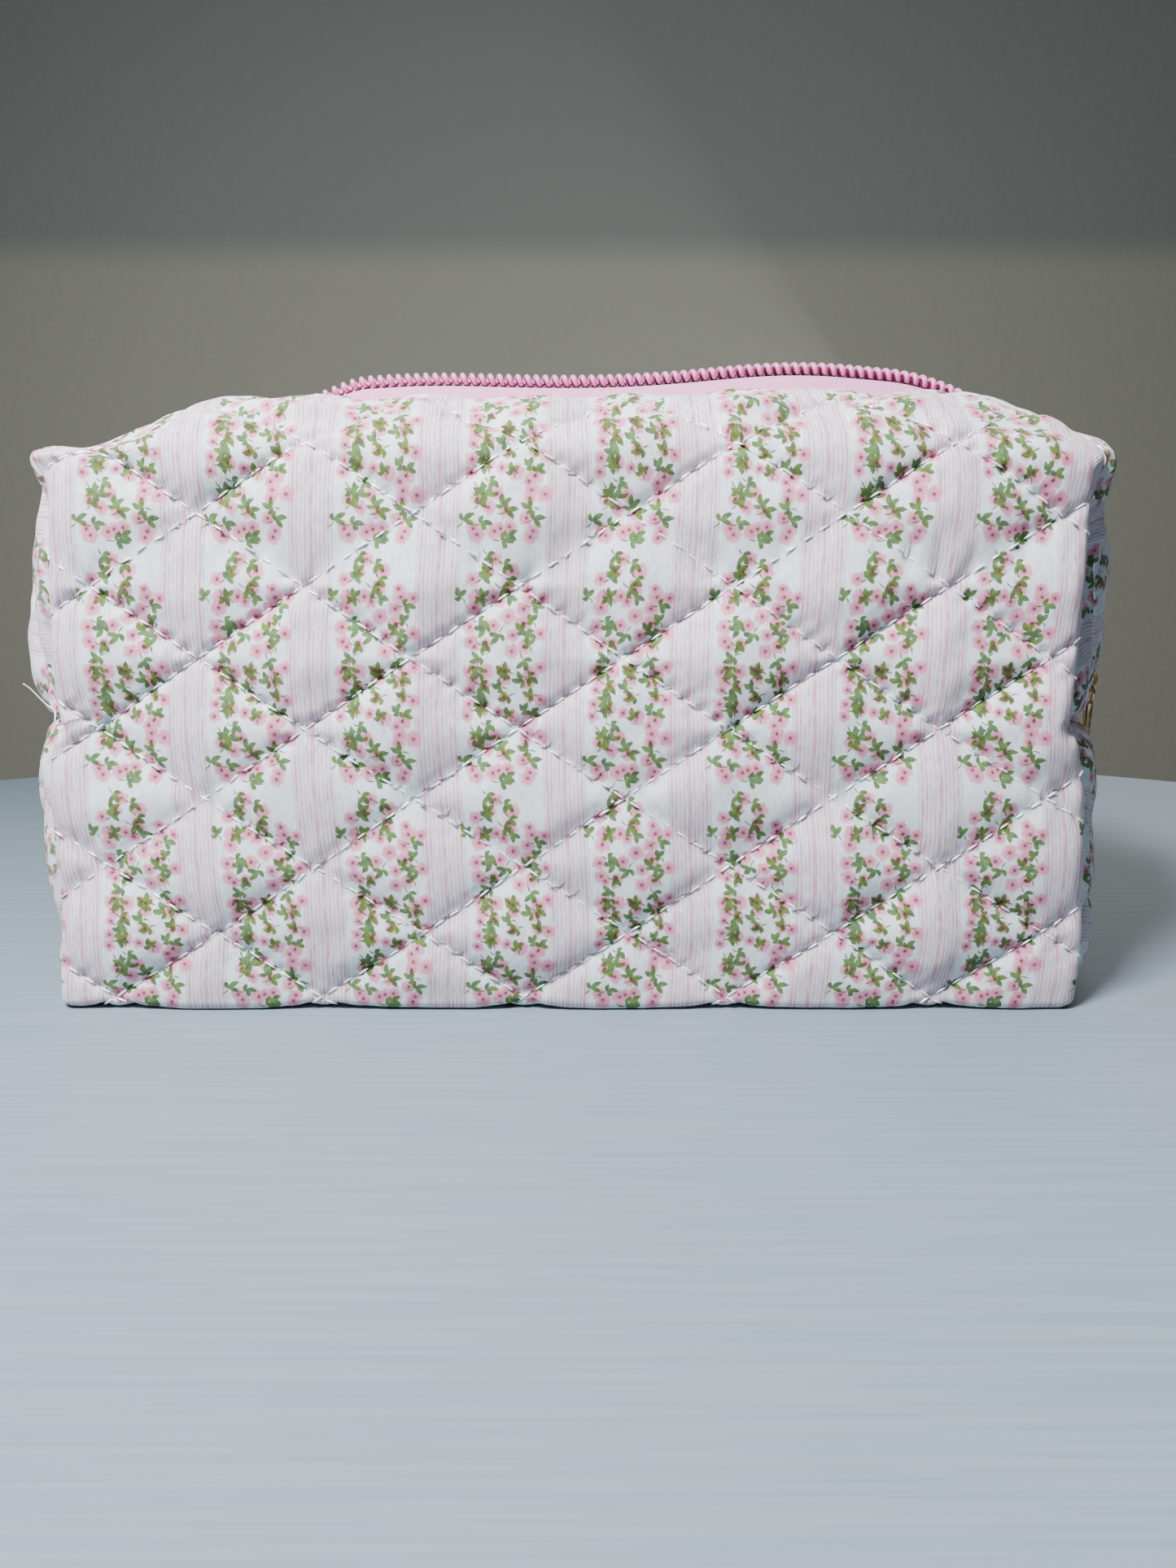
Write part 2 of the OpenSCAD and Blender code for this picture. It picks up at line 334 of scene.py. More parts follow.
# Node helpers
class Graph:
    def __init__(self, tree):
        self.tree = tree

    def node(self, kind, inputs=None, **settings):
        made = self.tree.nodes.new(kind)
        for key, value in settings.items():
            setattr(made, key, value)
        for key, value in (inputs or {}).items():
            self.feed(made.inputs[key], value)
        return made

    def feed(self, socket, value):
        if isinstance(value, bpy.types.NodeSocket):
            self.tree.links.new(value, socket)
        else:
            socket.default_value = value

    def calc(self, operation, *values):
        made = self.tree.nodes.new("ShaderNodeMath")
        made.operation = operation
        for i, value in enumerate(values):
            self.feed(made.inputs[i], value)
        return made.outputs[0]

    def vector(self, operation, *values):
        made = self.tree.nodes.new("ShaderNodeVectorMath")
        made.operation = operation
        for i, value in enumerate(values):
            self.feed(made.inputs[i], value)
        return made.outputs["Value" if operation == "LENGTH" else "Vector"]

    def ramp(self, value, low, high, toLow=0.0, toHigh=1.0):
        made = self.node("ShaderNodeMapRange", interpolation_type="SMOOTHSTEP")
        labels = ("Value", "From Min", "From Max", "To Min", "To Max")
        for key, item in zip(labels, (value, low, high, toLow, toHigh)):
            self.feed(made.inputs[key], item)
        return made.outputs[0]

    def mix(self, factor, a, b):
        made = self.node("ShaderNodeMix", data_type="RGBA")
        self.feed(made.inputs[0], factor)
        self.feed(made.inputs[6], a)
        self.feed(made.inputs[7], b)
        return made.outputs[2]

    def split(self, vector):
        made = self.node("ShaderNodeSeparateXYZ", {"Vector": vector})
        return made.outputs[0], made.outputs[1], made.outputs[2]

    def join(self, x, y, z=0.0):
        return self.node("ShaderNodeCombineXYZ", {"X": x, "Y": y, "Z": z}).outputs[0]

    def noise(self, place, scale, detail, roughness=0.5):
        inputs = {"Vector": place, "Scale": scale, "Detail": detail, "Roughness": roughness}
        return self.node("ShaderNodeTexNoise", inputs)

    def wave(self, turn):
        # A sine brought between 0 and 1
        return self.calc("MULTIPLY_ADD", self.calc("SINE", turn), 0.5, 0.5)

    def weave(self, u, v, warpPitch, weftPitch):
        # Plain weave: warp and weft take turns on top
        warp = self.calc("SINE", self.calc("MULTIPLY", u, fullTurn / warpPitch))
        weft = self.calc("SINE", self.calc("MULTIPLY", v, fullTurn / weftPitch))
        return self.calc("MULTIPLY_ADD", self.calc("MULTIPLY", warp, weft), 0.5, 0.5)

    def bump(self, shader, height, strength, distance):
        inputs = {"Strength": strength, "Distance": distance, "Height": height}
        self.feed(shader.inputs["Normal"], self.node("ShaderNodeBump", inputs).outputs[0])


def newGroup(name, kind, inputs, outputs):
    tree = bpy.data.node_groups.new(name, kind)
    for direction, items in (("INPUT", inputs), ("OUTPUT", outputs)):
        for label, socketType in items:
            tree.interface.new_socket(label, in_out=direction, socket_type=socketType)
    graph = Graph(tree)
    return tree, graph, graph.node("NodeGroupInput"), graph.node("NodeGroupOutput")


def srgb(r, g, b, a=1.0):
    shares = [c / 255 for c in (r, g, b)]
    return tuple(c / 12.92 if c <= 0.04 else ((c + 0.055) / 1.055) ** 2.4 for c in shares) + (a,)


floatSocket, vectorSocket, colourSocket = "NodeSocketFloat", "NodeSocketVector", "NodeSocketColor"
geometrySocket, materialSocket = ("Geometry", "NodeSocketGeometry"), ("Material", "NodeSocketMaterial")

printing = {
    "column": 19.0,  # millimetres from one column to the next
    "repeat": 36.0,
    "band": 3.3,  # half width of the pinstriped band
    "blossoms": ((1, 2.75, 0.84, 1.2), (5, 4.125, 0.5, 1.05)),  # seed, cell, share kept, radius
    "leafSeeds": (2, 3, 4),
    "leafCell": 3.6,
    "leafShare": 0.54,
    # Each brush stroke of a sprig: its turn, start, length and half width
    "sprig": (
        (0.0, -0.1, 1.92, 0.44),
        (0.95, 0.1, 1.42, 0.39),
        (-1.3, -0.1, 1.26, 0.36),
        (3.0, -0.1, 1.4, 0.12),
    ),
    "finePitch": 0.62,
    "thickPitch": 2.3,
    "warpPitch": 0.38,
    "weftPitch": 0.31,
    "ground": srgb(236, 244, 249),
    "stripe": srgb(208, 112, 152),
    "petal": srgb(234, 134, 164),
    "petalDeep": srgb(202, 68, 120),
    "heart": srgb(92, 2, 52),
    "leaf": srgb(84, 128, 0),
    "leafDark": srgb(40, 82, 0),
}


def strokeGroup():
    # One pointed brush stroke in local millimetres
    tree, g, given, out = newGroup(
        "brushStroke",
        "ShaderNodeTree",
        [("Local", vectorSocket), ("Angle", floatSocket), ("Start", floatSocket)]
        + [("Length", floatSocket), ("Width", floatSocket)],
        [("Mask", floatSocket)],
    )
    local = {"Vector": given.outputs["Local"], "Angle": given.outputs["Angle"]}
    turned = g.node("ShaderNodeVectorRotate", local, rotation_type="Z_AXIS")
    x, y, _ = g.split(turned.outputs[0])
    along = g.calc("DIVIDE", g.calc("SUBTRACT", x, given.outputs["Start"]), given.outputs["Length"])
    centred = g.calc("SUBTRACT", g.calc("MULTIPLY", along, 2.0), 1.0)
    room = g.calc("SUBTRACT", 1.0, g.calc("MULTIPLY", centred, centred))
    bow = g.calc("MULTIPLY", room, 0.16)
    across = g.calc("ABSOLUTE", g.calc("SUBTRACT", y, bow))
    edge = g.calc("MULTIPLY", room, given.outputs["Width"])
    inside = g.ramp(g.calc("SUBTRACT", edge, across), -0.03, 0.06)
    g.feed(out.inputs["Mask"], g.calc("MULTIPLY", inside, g.calc("GREATER_THAN", room, 0.0)))
    return tree


def printGroup():
    stroke = strokeGroup()
    tree, g, given, out = newGroup(
        "floralStripePrint",
        "ShaderNodeTree",
        [("Cloth", vectorSocket)],
        [("Color", colourSocket), ("Weave", floatSocket)],
    )
    cloth = given.outputs["Cloth"]
    wobble = g.noise(cloth, 0.9, 2.0, 0.6)
    ragged = g.noise(cloth, 3.2, 3.0, 0.7)
    u, v, _ = g.split(cloth)
    column, repeat = printing["column"], printing["repeat"]
    shifted = g.calc("ADD", u, column * 40.0)
    wrapU = g.calc("MODULO", shifted, column)
    wrapV = g.calc("MODULO", g.calc("ADD", v, repeat * 40.0), repeat)
    shake = g.vector("SUBTRACT", ragged.outputs["Color"], (0.5, 0.5, 0.5))
    bent = g.vector("ADD", g.join(wrapU, wrapV), g.vector("MULTIPLY", shake, (0.2, 0.2, 0.0)))

    def within(value, whole, margin):
        offMiddle = g.calc("ABSOLUTE", g.calc("SUBTRACT", value, whole / 2))
        return g.calc("LESS_THAN", offMiddle, whole / 2 - margin)

    def scatter(cell, seed, jitter):
        shift = (seed * 400.0, seed * 150.0, 0.0)
        inputs = {"Vector": g.vector("ADD", bent, shift), "Scale": 1.0 / cell, "Randomness": jitter}
        made = g.node("ShaderNodeTexVoronoi", inputs, voronoi_dimensions="2D")
        centre = g.vector("SUBTRACT", made.outputs["Position"], shift)
        local = g.vector("SUBTRACT", bent, centre)
        cu, cv, _ = g.split(centre)
        inside = g.calc("MULTIPLY", within(cu, column, printing["band"] + 0.1), within(cv, repeat, 0.7))
        return local, inside, made.outputs["Color"]

    # Blossoms: five soft lobes round a small dark heart
    petals, hearts, nearness = [], [], []
    for seed, cell, often, size in printing["blossoms"]:
        local, present, dice = scatter(cell, seed, 0.7)
        r, s, t = g.split(dice)
        present = g.calc("MULTIPLY", present, g.calc("LESS_THAN", r, often))
        reach = g.vector("LENGTH", local)
        lx, ly, _ = g.split(local)
        bearing = g.calc("ADD", g.calc("ARCTAN2", ly, lx), g.calc("MULTIPLY", s, fullTurn))
        lobes = g.calc("MULTIPLY", g.calc("COSINE", g.calc("MULTIPLY", bearing, 5.0)), 0.08)
        radius = g.calc("ADD", g.calc("MULTIPLY_ADD", t, 0.3, size - 0.1), lobes)
        speck = g.calc("MULTIPLY", g.calc("SUBTRACT", ragged.outputs["Fac"], 0.5), 1.3)
        soft = g.ramp(g.calc("ADD", g.calc("SUBTRACT", radius, reach), speck), -0.1, 0.4)
        petals.append(g.calc("MULTIPLY", present, soft))
        core = g.ramp(g.calc("ADD", reach, g.calc("MULTIPLY", lobes, 1.2)), 0.12, 0.3, 1.0, 0.0)
        hearts.append(g.calc("MULTIPLY", present, core))
        nearness.append(g.calc("MULTIPLY", present, g.ramp(reach, 0.1, 0.8, 1.0, 0.0)))
    petal, heart = g.calc("MAXIMUM", *petals), g.calc("MAXIMUM", *hearts)
    petalTint = g.mix(g.calc("MAXIMUM", *nearness), printing["petal"], printing["petalDeep"])

    # Leaves: sprigs of brush strokes that fan out from a thin stem
    masks = []
    for seed in printing["leafSeeds"]:
        local, present, dice = scatter(printing["leafCell"], seed, 0.5)
        r, s, t = g.split(dice)
        present = g.calc("MULTIPLY", present, g.calc("LESS_THAN", r, printing["leafShare"]))
        lean = g.calc("MULTIPLY", s, fullTurn)
        for spread, start, length, width in printing["sprig"]:
            made = g.node("ShaderNodeGroup", node_tree=stroke)
            g.feed(made.inputs["Local"], local)
            g.feed(made.inputs["Angle"], g.calc("ADD", lean, spread))
            g.feed(made.inputs["Start"], start)
            g.feed(made.inputs["Length"], g.calc("MULTIPLY_ADD", t, 0.5, length - 0.2))
            g.feed(made.inputs["Width"], width)
            masks.append(g.calc("MULTIPLY", present, made.outputs["Mask"]))
    leaf = masks[0]
    for mask in masks[1:]:
        leaf = g.calc("MAXIMUM", leaf, mask)
    leafTint = g.mix(g.ramp(wobble.outputs["Fac"], 0.35, 0.65), printing["leafDark"], printing["leaf"])

    # Pinstripes: fine lines that come and go in a soft pink wash
    across = g.calc("MODULO", g.calc("ADD", shifted, column / 2), column)
    fromBand = g.calc("ABSOLUTE", g.calc("SUBTRACT", across, column / 2))
    inStripe = g.ramp(fromBand, printing["band"] - 0.15, printing["band"] + 0.05, 1.0, 0.0)
    fine = g.wave(g.calc("MULTIPLY", fromBand, fullTurn / printing["finePitch"]))
    thick = g.wave(g.calc("MULTIPLY_ADD", fromBand, fullTurn / printing["thickPitch"], 1.1))
    broken = g.noise(g.vector("MULTIPLY", cloth, (2.0, 0.35, 1.0)), 1.0, 3.0)
    lines = g.calc("MULTIPLY", fine, g.calc("MULTIPLY_ADD", thick, 0.5, 0.5))
    lines = g.calc("MULTIPLY", lines, g.ramp(broken.outputs["Fac"], 0.3, 0.65, 0.35, 1.0))
    stripe = g.calc("MULTIPLY", inStripe, g.calc("MULTIPLY_ADD", lines, 0.72, 0.13))

    # Painted shade between the weave's threads, and the threads' uneven tone, darken the colours
    weave = g.weave(u, v, printing["warpPitch"], printing["weftPitch"])
    thready = g.noise(g.vector("MULTIPLY", cloth, (3.0, 0.7, 1.0)), 1.0, 2.0)
    weaveShadeAndTone = g.calc("MULTIPLY_ADD", weave, 0.5, g.calc("MULTIPLY_ADD", thready.outputs["Fac"], 0.7, 0.2))

    base = g.mix(stripe, printing["ground"], printing["stripe"])
    base = g.mix(g.calc("MULTIPLY", petal, 0.82), base, petalTint)
    base = g.mix(g.calc("MULTIPLY", leaf, 0.92), base, leafTint)
    base = g.mix(g.calc("MULTIPLY", heart, 0.85), base, printing["heart"])
    shaded = g.node("ShaderNodeMix", data_type="RGBA", blend_type="MULTIPLY")
    g.feed(shaded.inputs[0], 1.0)
    g.feed(shaded.inputs[6], base)
    g.feed(shaded.inputs[7], g.join(weaveShadeAndTone, weaveShadeAndTone, weaveShadeAndTone))
    g.feed(out.inputs["Color"], shaded.outputs[2])
    g.feed(out.inputs["Weave"], weave)
    return tree


looks = {
    "cotton": {"Roughness": 0.86, "Sheen Weight": 0.12, "Sheen Roughness": 0.5, "Specular IOR Level": 0.25},
    "plain": {"Roughness": 0.8, "Sheen Weight": 0.1, "Specular IOR Level": 0.3},
    "tape": {"Roughness": 0.62, "Sheen Weight": 0.2, "Specular IOR Level": 0.4},
    "coil": {
        "Base Color": srgb(224, 136, 186), "Roughness": 0.22, "Specular IOR Level": 0.6,
        "Subsurface Weight": 0.12, "Subsurface Radius": (0.0008, 0.0004, 0.0005),
    },
    "thread": {
        "Base Color": srgb(246, 246, 250), "Roughness": 0.3, "Metallic": 0.25, "Specular IOR Level": 0.8,
    },
    "gold": {"Base Color": srgb(222, 190, 138), "Metallic": 1.0},
    # A shaded and a lit pink, painted along the zip tape's ribs
    "tapeRibShade": srgb(200, 116, 164),
    "tapeRibLit": srgb(234, 176, 210),
    "tapeRib": 0.7,
    "tapeZig": 1.25,  # the twill's slant turns over every so many millimetres
    "plainWarp": 1 / 2.6,
    "plainWeft": 1 / 3.38,
    "lining": srgb(240, 236, 234),
    "binding": srgb(238, 205, 216),
}


def principled(name, values):
    material = bpy.data.materials.new(name)
    material.use_nodes = True
    material.node_tree.nodes.clear()
    g = Graph(material.node_tree)
    shader = g.node("ShaderNodeBsdfPrincipled", values)
    g.node("ShaderNodeOutputMaterial", {"Surface": shader.outputs[0]})
    return material, g, shader


def clothVector(g):
    uv = g.node("ShaderNodeUVMap", uv_map="UVMap")
    return g.vector("MULTIPLY", uv.outputs[0], (1000.0, 1000.0, 1000.0))


def printedCotton():
    material, g, shader = principled("printedCotton", looks["cotton"])
    made = g.node("ShaderNodeGroup", {"Cloth": clothVector(g)}, node_tree=printGroup())
    g.feed(shader.inputs["Base Color"], made.outputs["Color"])
    g.bump(shader, made.outputs["Weave"], 0.7, 0.00008)
    return material


def plainCloth(name, colour):
    material, g, shader = principled(name, looks["plain"])
    u, v, _ = g.split(clothVector(g))
    weave = g.weave(u, v, looks["plainWarp"], looks["plainWeft"])
    # Painted shade between the threads: the weave mixes the colour with a copy darkened to 0.8
    dark = tuple(c * 0.8 for c in colour[:3]) + (1.0,)
    g.feed(shader.inputs["Base Color"], g.mix(weave, dark, colour))
    g.bump(shader, weave, 0.4, 0.00006)
    return material


def tapeCloth():
    material, g, shader = principled("zipTape", looks["tape"])
    u, v, _ = g.split(clothVector(g))
    zig = g.calc("PINGPONG", v, looks["tapeZig"])
    slant = g.calc("ADD", u, g.calc("MULTIPLY", zig, 1.1))
    ribs = g.wave(g.calc("MULTIPLY", slant, fullTurn / looks["tapeRib"]))
    # Painted light and shade along the twill's ribs: the colour swings between a darker and a lighter pink
    g.feed(shader.inputs["Base Color"], g.mix(ribs, looks["tapeRibShade"], looks["tapeRibLit"]))
    g.bump(shader, ribs, 0.6, 0.0001)
    return material


def goldMetal():
    material, g, shader = principled("goldMetal", looks["gold"])
    grain = g.noise(g.node("ShaderNodeTexCoord").outputs["Object"], 900.0, 2.0)
    g.feed(shader.inputs["Roughness"], g.ramp(grain.outputs["Fac"], 0.3, 0.7, 0.18, 0.32))
    return material


cotton = printedCotton()
liningCloth = plainCloth("liningCloth", looks["lining"])
bindingCloth = plainCloth("bindingCloth", looks["binding"])
tape = tapeCloth()
coilMaterial = principled("zipCoil", looks["coil"])[0]
silver = principled("silverThread", looks["thread"])[0]
gold = goldMetal()
print("materials ready")


# Quilted pieces. Each is a grid of outer points; the quilting's relief is added along the normals
pads = {}


def relief(uv, fade):
    return quiltHeight(uv[..., 0], uv[..., 1]) * fade


def addPad(name, base, uv, fade, inner, body, bodies=None):
    n = normalsOf(base)
    outer = settle(base + n * relief(uv, fade)[..., None])
    inside = settle(inner)
    obj = closedGrid(name, outer, inside, uv, [cotton])
    pads[name] = {"obj": obj, "outer": outer, "uv": uv, "inner": inside, "body": body, "bodies": bodies}
    ridePiece(obj, body, bodies)
    return obj


def ridePiece(obj, body, bodies=None):
    if bodies:
        side, other = bodies
        z = bag["zipTop"] * mm
        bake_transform(obj, "root", other, start=(side * 0.056, 0, z), end=(side * 0.004, 0, z))
    else:
        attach(obj, body)


def frontOutline(t, which):
    # Border of the front panel: which is bottom, side or top, with t from 0 to 1
    hinge = bag["hingeY"]
    hornU = bag["hornU"]
    if which == "side":
        p = endPoint(hinge, t * hornU)
        return np.stack([p[..., 0], p[..., 2]], -1)
    if which == "bottom":
        x = endPoint(hinge, 0.0)[0]
        return np.stack([x * (2 * t - 1), np.zeros_like(t)], -1)
    bend = endPoint(hinge, np.linspace(hornU, 3, 60))
    run = np.concatenate([bend[:, [0, 2]], (bend[:, [0, 2]] * [-1, 1])[::-1]])[::-1]
    length = np.concatenate([[0], np.cumsum(np.linalg.norm(np.diff(run, axis=0), axis=1))])
    return np.stack([np.interp(t * length[-1], length, run[:, i]) for i in (0, 1)], -1)


def frontGrid(columns, rows):
    s, t = np.meshgrid(edgeDense(columns), edgeDense(rows), indexing="ij")
    low, high = frontOutline(s, "bottom"), frontOutline(s, "top")
    right = frontOutline(t, "side")
    left = right * [-1, 1]
    s3, t3 = s[..., None], t[..., None]
    corners = (
        (1 - s3) * (1 - t3) * low[0, 0] + s3 * (1 - t3) * low[-1, 0]
        + (1 - s3) * t3 * high[0, -1] + s3 * t3 * high[-1, -1]
    )
    p = (1 - t3) * low + t3 * high + (1 - s3) * left + s3 * right - corners
    x, z = p[..., 0], p[..., 1]
    return s * 2 - 1, x, z


def borderDistance(x, z, line):
    flat = np.stack([x.ravel(), z.ravel()], -1)
    best = np.full(len(flat), 1e9)
    for a, b in zip(line[:-1], line[1:]):
        d = b - a
        k = np.clip(((flat - a) @ d) / max(d @ d, 1e-12), 0, 1)
        best = np.minimum(best, np.hypot(*(flat - a - k[:, None] * d).T))
    return best.reshape(x.shape)


def frontShape(columns, rows):
    # A wall of the bag, rounded toward its border; pinch flattens the relief along the sewn edges
    s, x, z = frontGrid(columns, rows)
    steps = np.linspace(0, 1, 90)
    side = frontOutline(steps, "side")
    dSide = borderDistance(np.abs(x), z, side)
    dTop = borderDistance(x, z, frontOutline(steps, "top"))
    dBottom = z
    ring = lambda d, r: np.sqrt((1 - (1 - np.clip(d / r, 0, 1)) ** 2).clip(0))
    fold = 1 - (1 - np.clip(dTop / bag["topRound"], 0, 1)) ** 2.3
    q = ring(dSide, bag["sideRound"]) * ring(dBottom, bag["bottomRound"]) * fold
    swell = bag["bulge"] * np.clip(1 - (x / 80) ** 4, 0, 1) * np.sin(np.pi * np.clip(z / 92, 0, 1)) ** 0.7
    depth = bag["hingeY"] + (bag["halfDepth"] - bag["hingeY"]) * q + swell
    over = np.clip((z - bag["foldZ"]) / bag["topRound"], 0, 1)
    v = z + 1.1 * over ** 2
    u = x + (80 * s - x) * np.abs(s) ** 4 * 0.5
    whole = endPoint(bag["hingeY"], np.linspace(0, 3, 120))[:, [0, 2]]
    pinch = 1 - smooth(0.2, 3.5, borderDistance(np.abs(x), z, whole))
    pinch = pinch * smooth(bag["arcX"], bag["arcX"] + 6, np.abs(x))
    fade = (1 - pinch) * (0.45 + 0.55 * smooth(0, 9, z))
    return x, -depth, z, u, v, fade


def buildWall(name, sign, columns=230, rows=140):
    x, y, z, u, v, fade = frontShape(columns, rows)
    # sign is -1 for the front and 1 for the rear, which is turned half round
    base = np.stack([-sign * x, -sign * y, z], -1)
    inside = np.full(x.shape, sign * (bag["hingeY"] - 0.3))
    inner = np.stack([base[..., 0] * 0.955, inside, 45 + (z - 45) * 0.925], -1)
    return addPad(name, base, np.stack([u, v], -1), fade, inner, "root")


def flipIfInward(base, uv, fade, outward):
    if (normalsOf(base) * outward).sum() < 0:
        return base[:, ::-1], uv[:, ::-1], fade[:, ::-1]
    return base, uv, fade


def slotFade(y):
    # Lets the relief die away toward the folded edge beside the zip
    return smooth(bag["slotHalf"] - 0.3, bag["slotHalf"] + 2.6, y)


def seamFade(y):
    return smooth(bag["hingeY"], bag["hingeY"] - 3.0, y)


def buildFlap(name, sign, side, body):
    # Half of a flap: sign is -1 for the front flap and side is 1 for its right half
    rows, columns = 90, 84
    x = np.linspace(-bag["overlap"], bag["arcX"], rows)
    x, t = np.meshgrid(x, edgeDense(columns, 0.35), indexing="ij")
    y = bag["hingeY"] + (bag["slotHalf"] - bag["hingeY"]) * t
    base = np.stack([side * x, sign * y, topZ(y)], -1)
    uv = np.stack([-sign * base[..., 0], flapV(y)], -1)
    fade = slotFade(y)
    base, uv, fade = flipIfInward(base, uv, fade, np.array([0, 0, 1]))
    inner = base - normalsOf(base) * bag["wall"]
    return addPad(name, base, uv, fade, inner, None, (side, body))


def arcAlong(y, us):
    # Length of the end's profile measured from u = us[0], as a grid over y and us
    p = endPoint(y[:, None], us[None, :])
    step = np.linalg.norm(np.diff(p, axis=1), axis=2)
    return p, np.concatenate([np.zeros((len(y), 1)), np.cumsum(step, axis=1)], axis=1)


def buildUpperEnd(name, sign, side):
    y = bag["slotHalf"] + (bag["hingeY"] - bag["slotHalf"]) * edgeDense(64, 0.3)
    us = np.linspace(3, 1, 110)
    p, s = arcAlong(y, us)
    base = p * [side, sign, 1]
    # The flap's columns run on over the end, and the outline's own length sets how far
    uv = np.stack([-sign * side * (bag["arcX"] + s), np.broadcast_to(flapV(y)[:, None], s.shape)], -1)
    yy = np.broadcast_to(y[:, None], s.shape)
    left = s[:, -1:] - s
    fade = seamFade(yy) * slotFade(yy)
    fade = np.maximum(fade, smooth(bag["slotHalf"] + 3, bag["hingeY"], yy) * smooth(6, 0, s))
    fade = fade * smooth(-0.2, 3.0, left)
    base, uv, fade = flipIfInward(base, uv, fade, np.array([side, 0, 0.5]))
    inner = base - normalsOf(base) * bag["wall"]
    return addPad(name, base, uv, fade, inner, "root")


def buildLowerEnd(name, side):
    y = bag["hingeY"] * (2 * edgeDense(120, 0.2) - 1)
    us = np.linspace(0, 1, 84)
    p, s = arcAlong(y, us)
    base = p * [side, 1, 1]
    edge = endPoint(y, 0.0)[:, 0][:, None]
    uv = np.stack([side * (edge + s), np.broadcast_to(-(bag["hingeY"] + y)[:, None], s.shape)], -1)
    yy = np.abs(np.broadcast_to(y[:, None], s.shape))
    fade = seamFade(yy) * smooth(-0.2, 3.0, s[:, -1:] - s)
    fade = fade * (0.45 + 0.55 * smooth(0, 9, s))
    base, uv, fade = flipIfInward(base, uv, fade, np.array([side, 0, 0]))
    inner = base - normalsOf(base) * bag["wall"]
    return addPad(name, base, uv, fade, inner, "root")


def buildBase(name):
    y = bag["hingeY"] * (2 * edgeDense(110, 0.2) - 1)
    s = 2 * edgeDense(210, 0.2) - 1
    edge = endPoint(y, 0.0)[:, 0]
    x = edge[:, None] * s[None, :]
    yy = np.broadcast_to(y[:, None], x.shape)
    base = np.stack([x, yy, np.zeros(x.shape)], -1)
    uv = np.stack([x, -(bag["hingeY"] + yy)], -1)
    # The bag's weight presses the puffs flat underneath
    inside = np.minimum(bag["hingeY"] - np.abs(yy), edge[:, None] - np.abs(x))
    fade = 0.45 - 0.35 * smooth(0, 6, inside)
    base, uv, fade = flipIfInward(base, uv, fade, np.array([0, 0, -1]))
    inner = base + [0, 0, bag["wall"]]
    inner = inner * [0.97, 0.94, 1]
    return addPad(name, base, uv, fade, inner, "root")


folding = {"radius": 2.2, "core": 0.8, "depth": 2.5, "lean": math.radians(50), "from": -100, "to": 130}


def buildFold(name, sign):
    # Roll of cloth inside the fold that a flap turns on, seen only where the fold opens
    x = np.linspace(-bag["arcX"] - 3, bag["arcX"] + 3, 200)
    turn = np.radians(np.linspace(folding["from"], folding["to"], 16))
    y, z = np.full(200, bag["hingeY"]), np.full(200, topZ(bag["hingeY"]))
    v = hingeV + folding["radius"] * turn
    lift = quiltHeight(x, hingeV) - folding["depth"]
    lean = folding["lean"]
    middle = np.stack([x, sign * (y + lift * math.cos(lean)), z + lift * math.sin(lean)], -1)
    across = np.stack([0 * turn, sign * np.cos(lean + turn), np.sin(lean + turn)], -1)
    base = middle[:, None] + folding["radius"] * across[None]
    inner = middle[:, None] + folding["core"] * across[None]
    uv = np.stack(np.broadcast_arrays(-sign * x[:, None], v[None, :]), -1)
    if (normalsOf(base) * across[None]).sum() < 0:
        base, inner, uv = base[:, ::-1], inner[:, ::-1], uv[:, ::-1]
    obj = closedGrid(name, settle(base), settle(inner), uv, [cotton])
    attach(obj, "root")


buildFold("frontFold", -1)
buildFold("rearFold", 1)
buildWall("frontPanel", -1)
buildWall("rearPanel", 1)
buildBase("basePanel")
for side, word in ((1, "right"), (-1, "left")):
    buildLowerEnd(word + "EndLower", side)
    for sign, face, body in ((-1, "front", "front_top"), (1, "rear", "rear_top")):
        buildUpperEnd(word + "EndUpper" + face.title(), sign, side)
        buildFlap(face + "Flap" + word.title(), sign, side, body)
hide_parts("front_panel_cloth", "front_panel_wadding")
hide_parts("rear_panel_cloth", "rear_panel_wadding")
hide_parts("base_cloth", "base_wadding")
for word in ("right", "left"):
    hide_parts(word + "_end_lower_cloth", word + "_end_lower_wadding")
    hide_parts(word + "_end_upper_cloth", word + "_end_upper_wadding")
for face in ("front", "rear"):
    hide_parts(face + "_flap_cloth", face + "_flap_wadding")
print("quilted pieces ready")


# Quilting thread: single stitches laid along the lattice lines, and along the folded edges by the zip
def finishTree(g, made, given, out):
    inputs = {"Geometry": made.outputs[0], "Material": given.outputs["Material"]}
    g.feed(out.inputs["Geometry"], g.node("GeometryNodeSetMaterial", inputs).outputs[0])


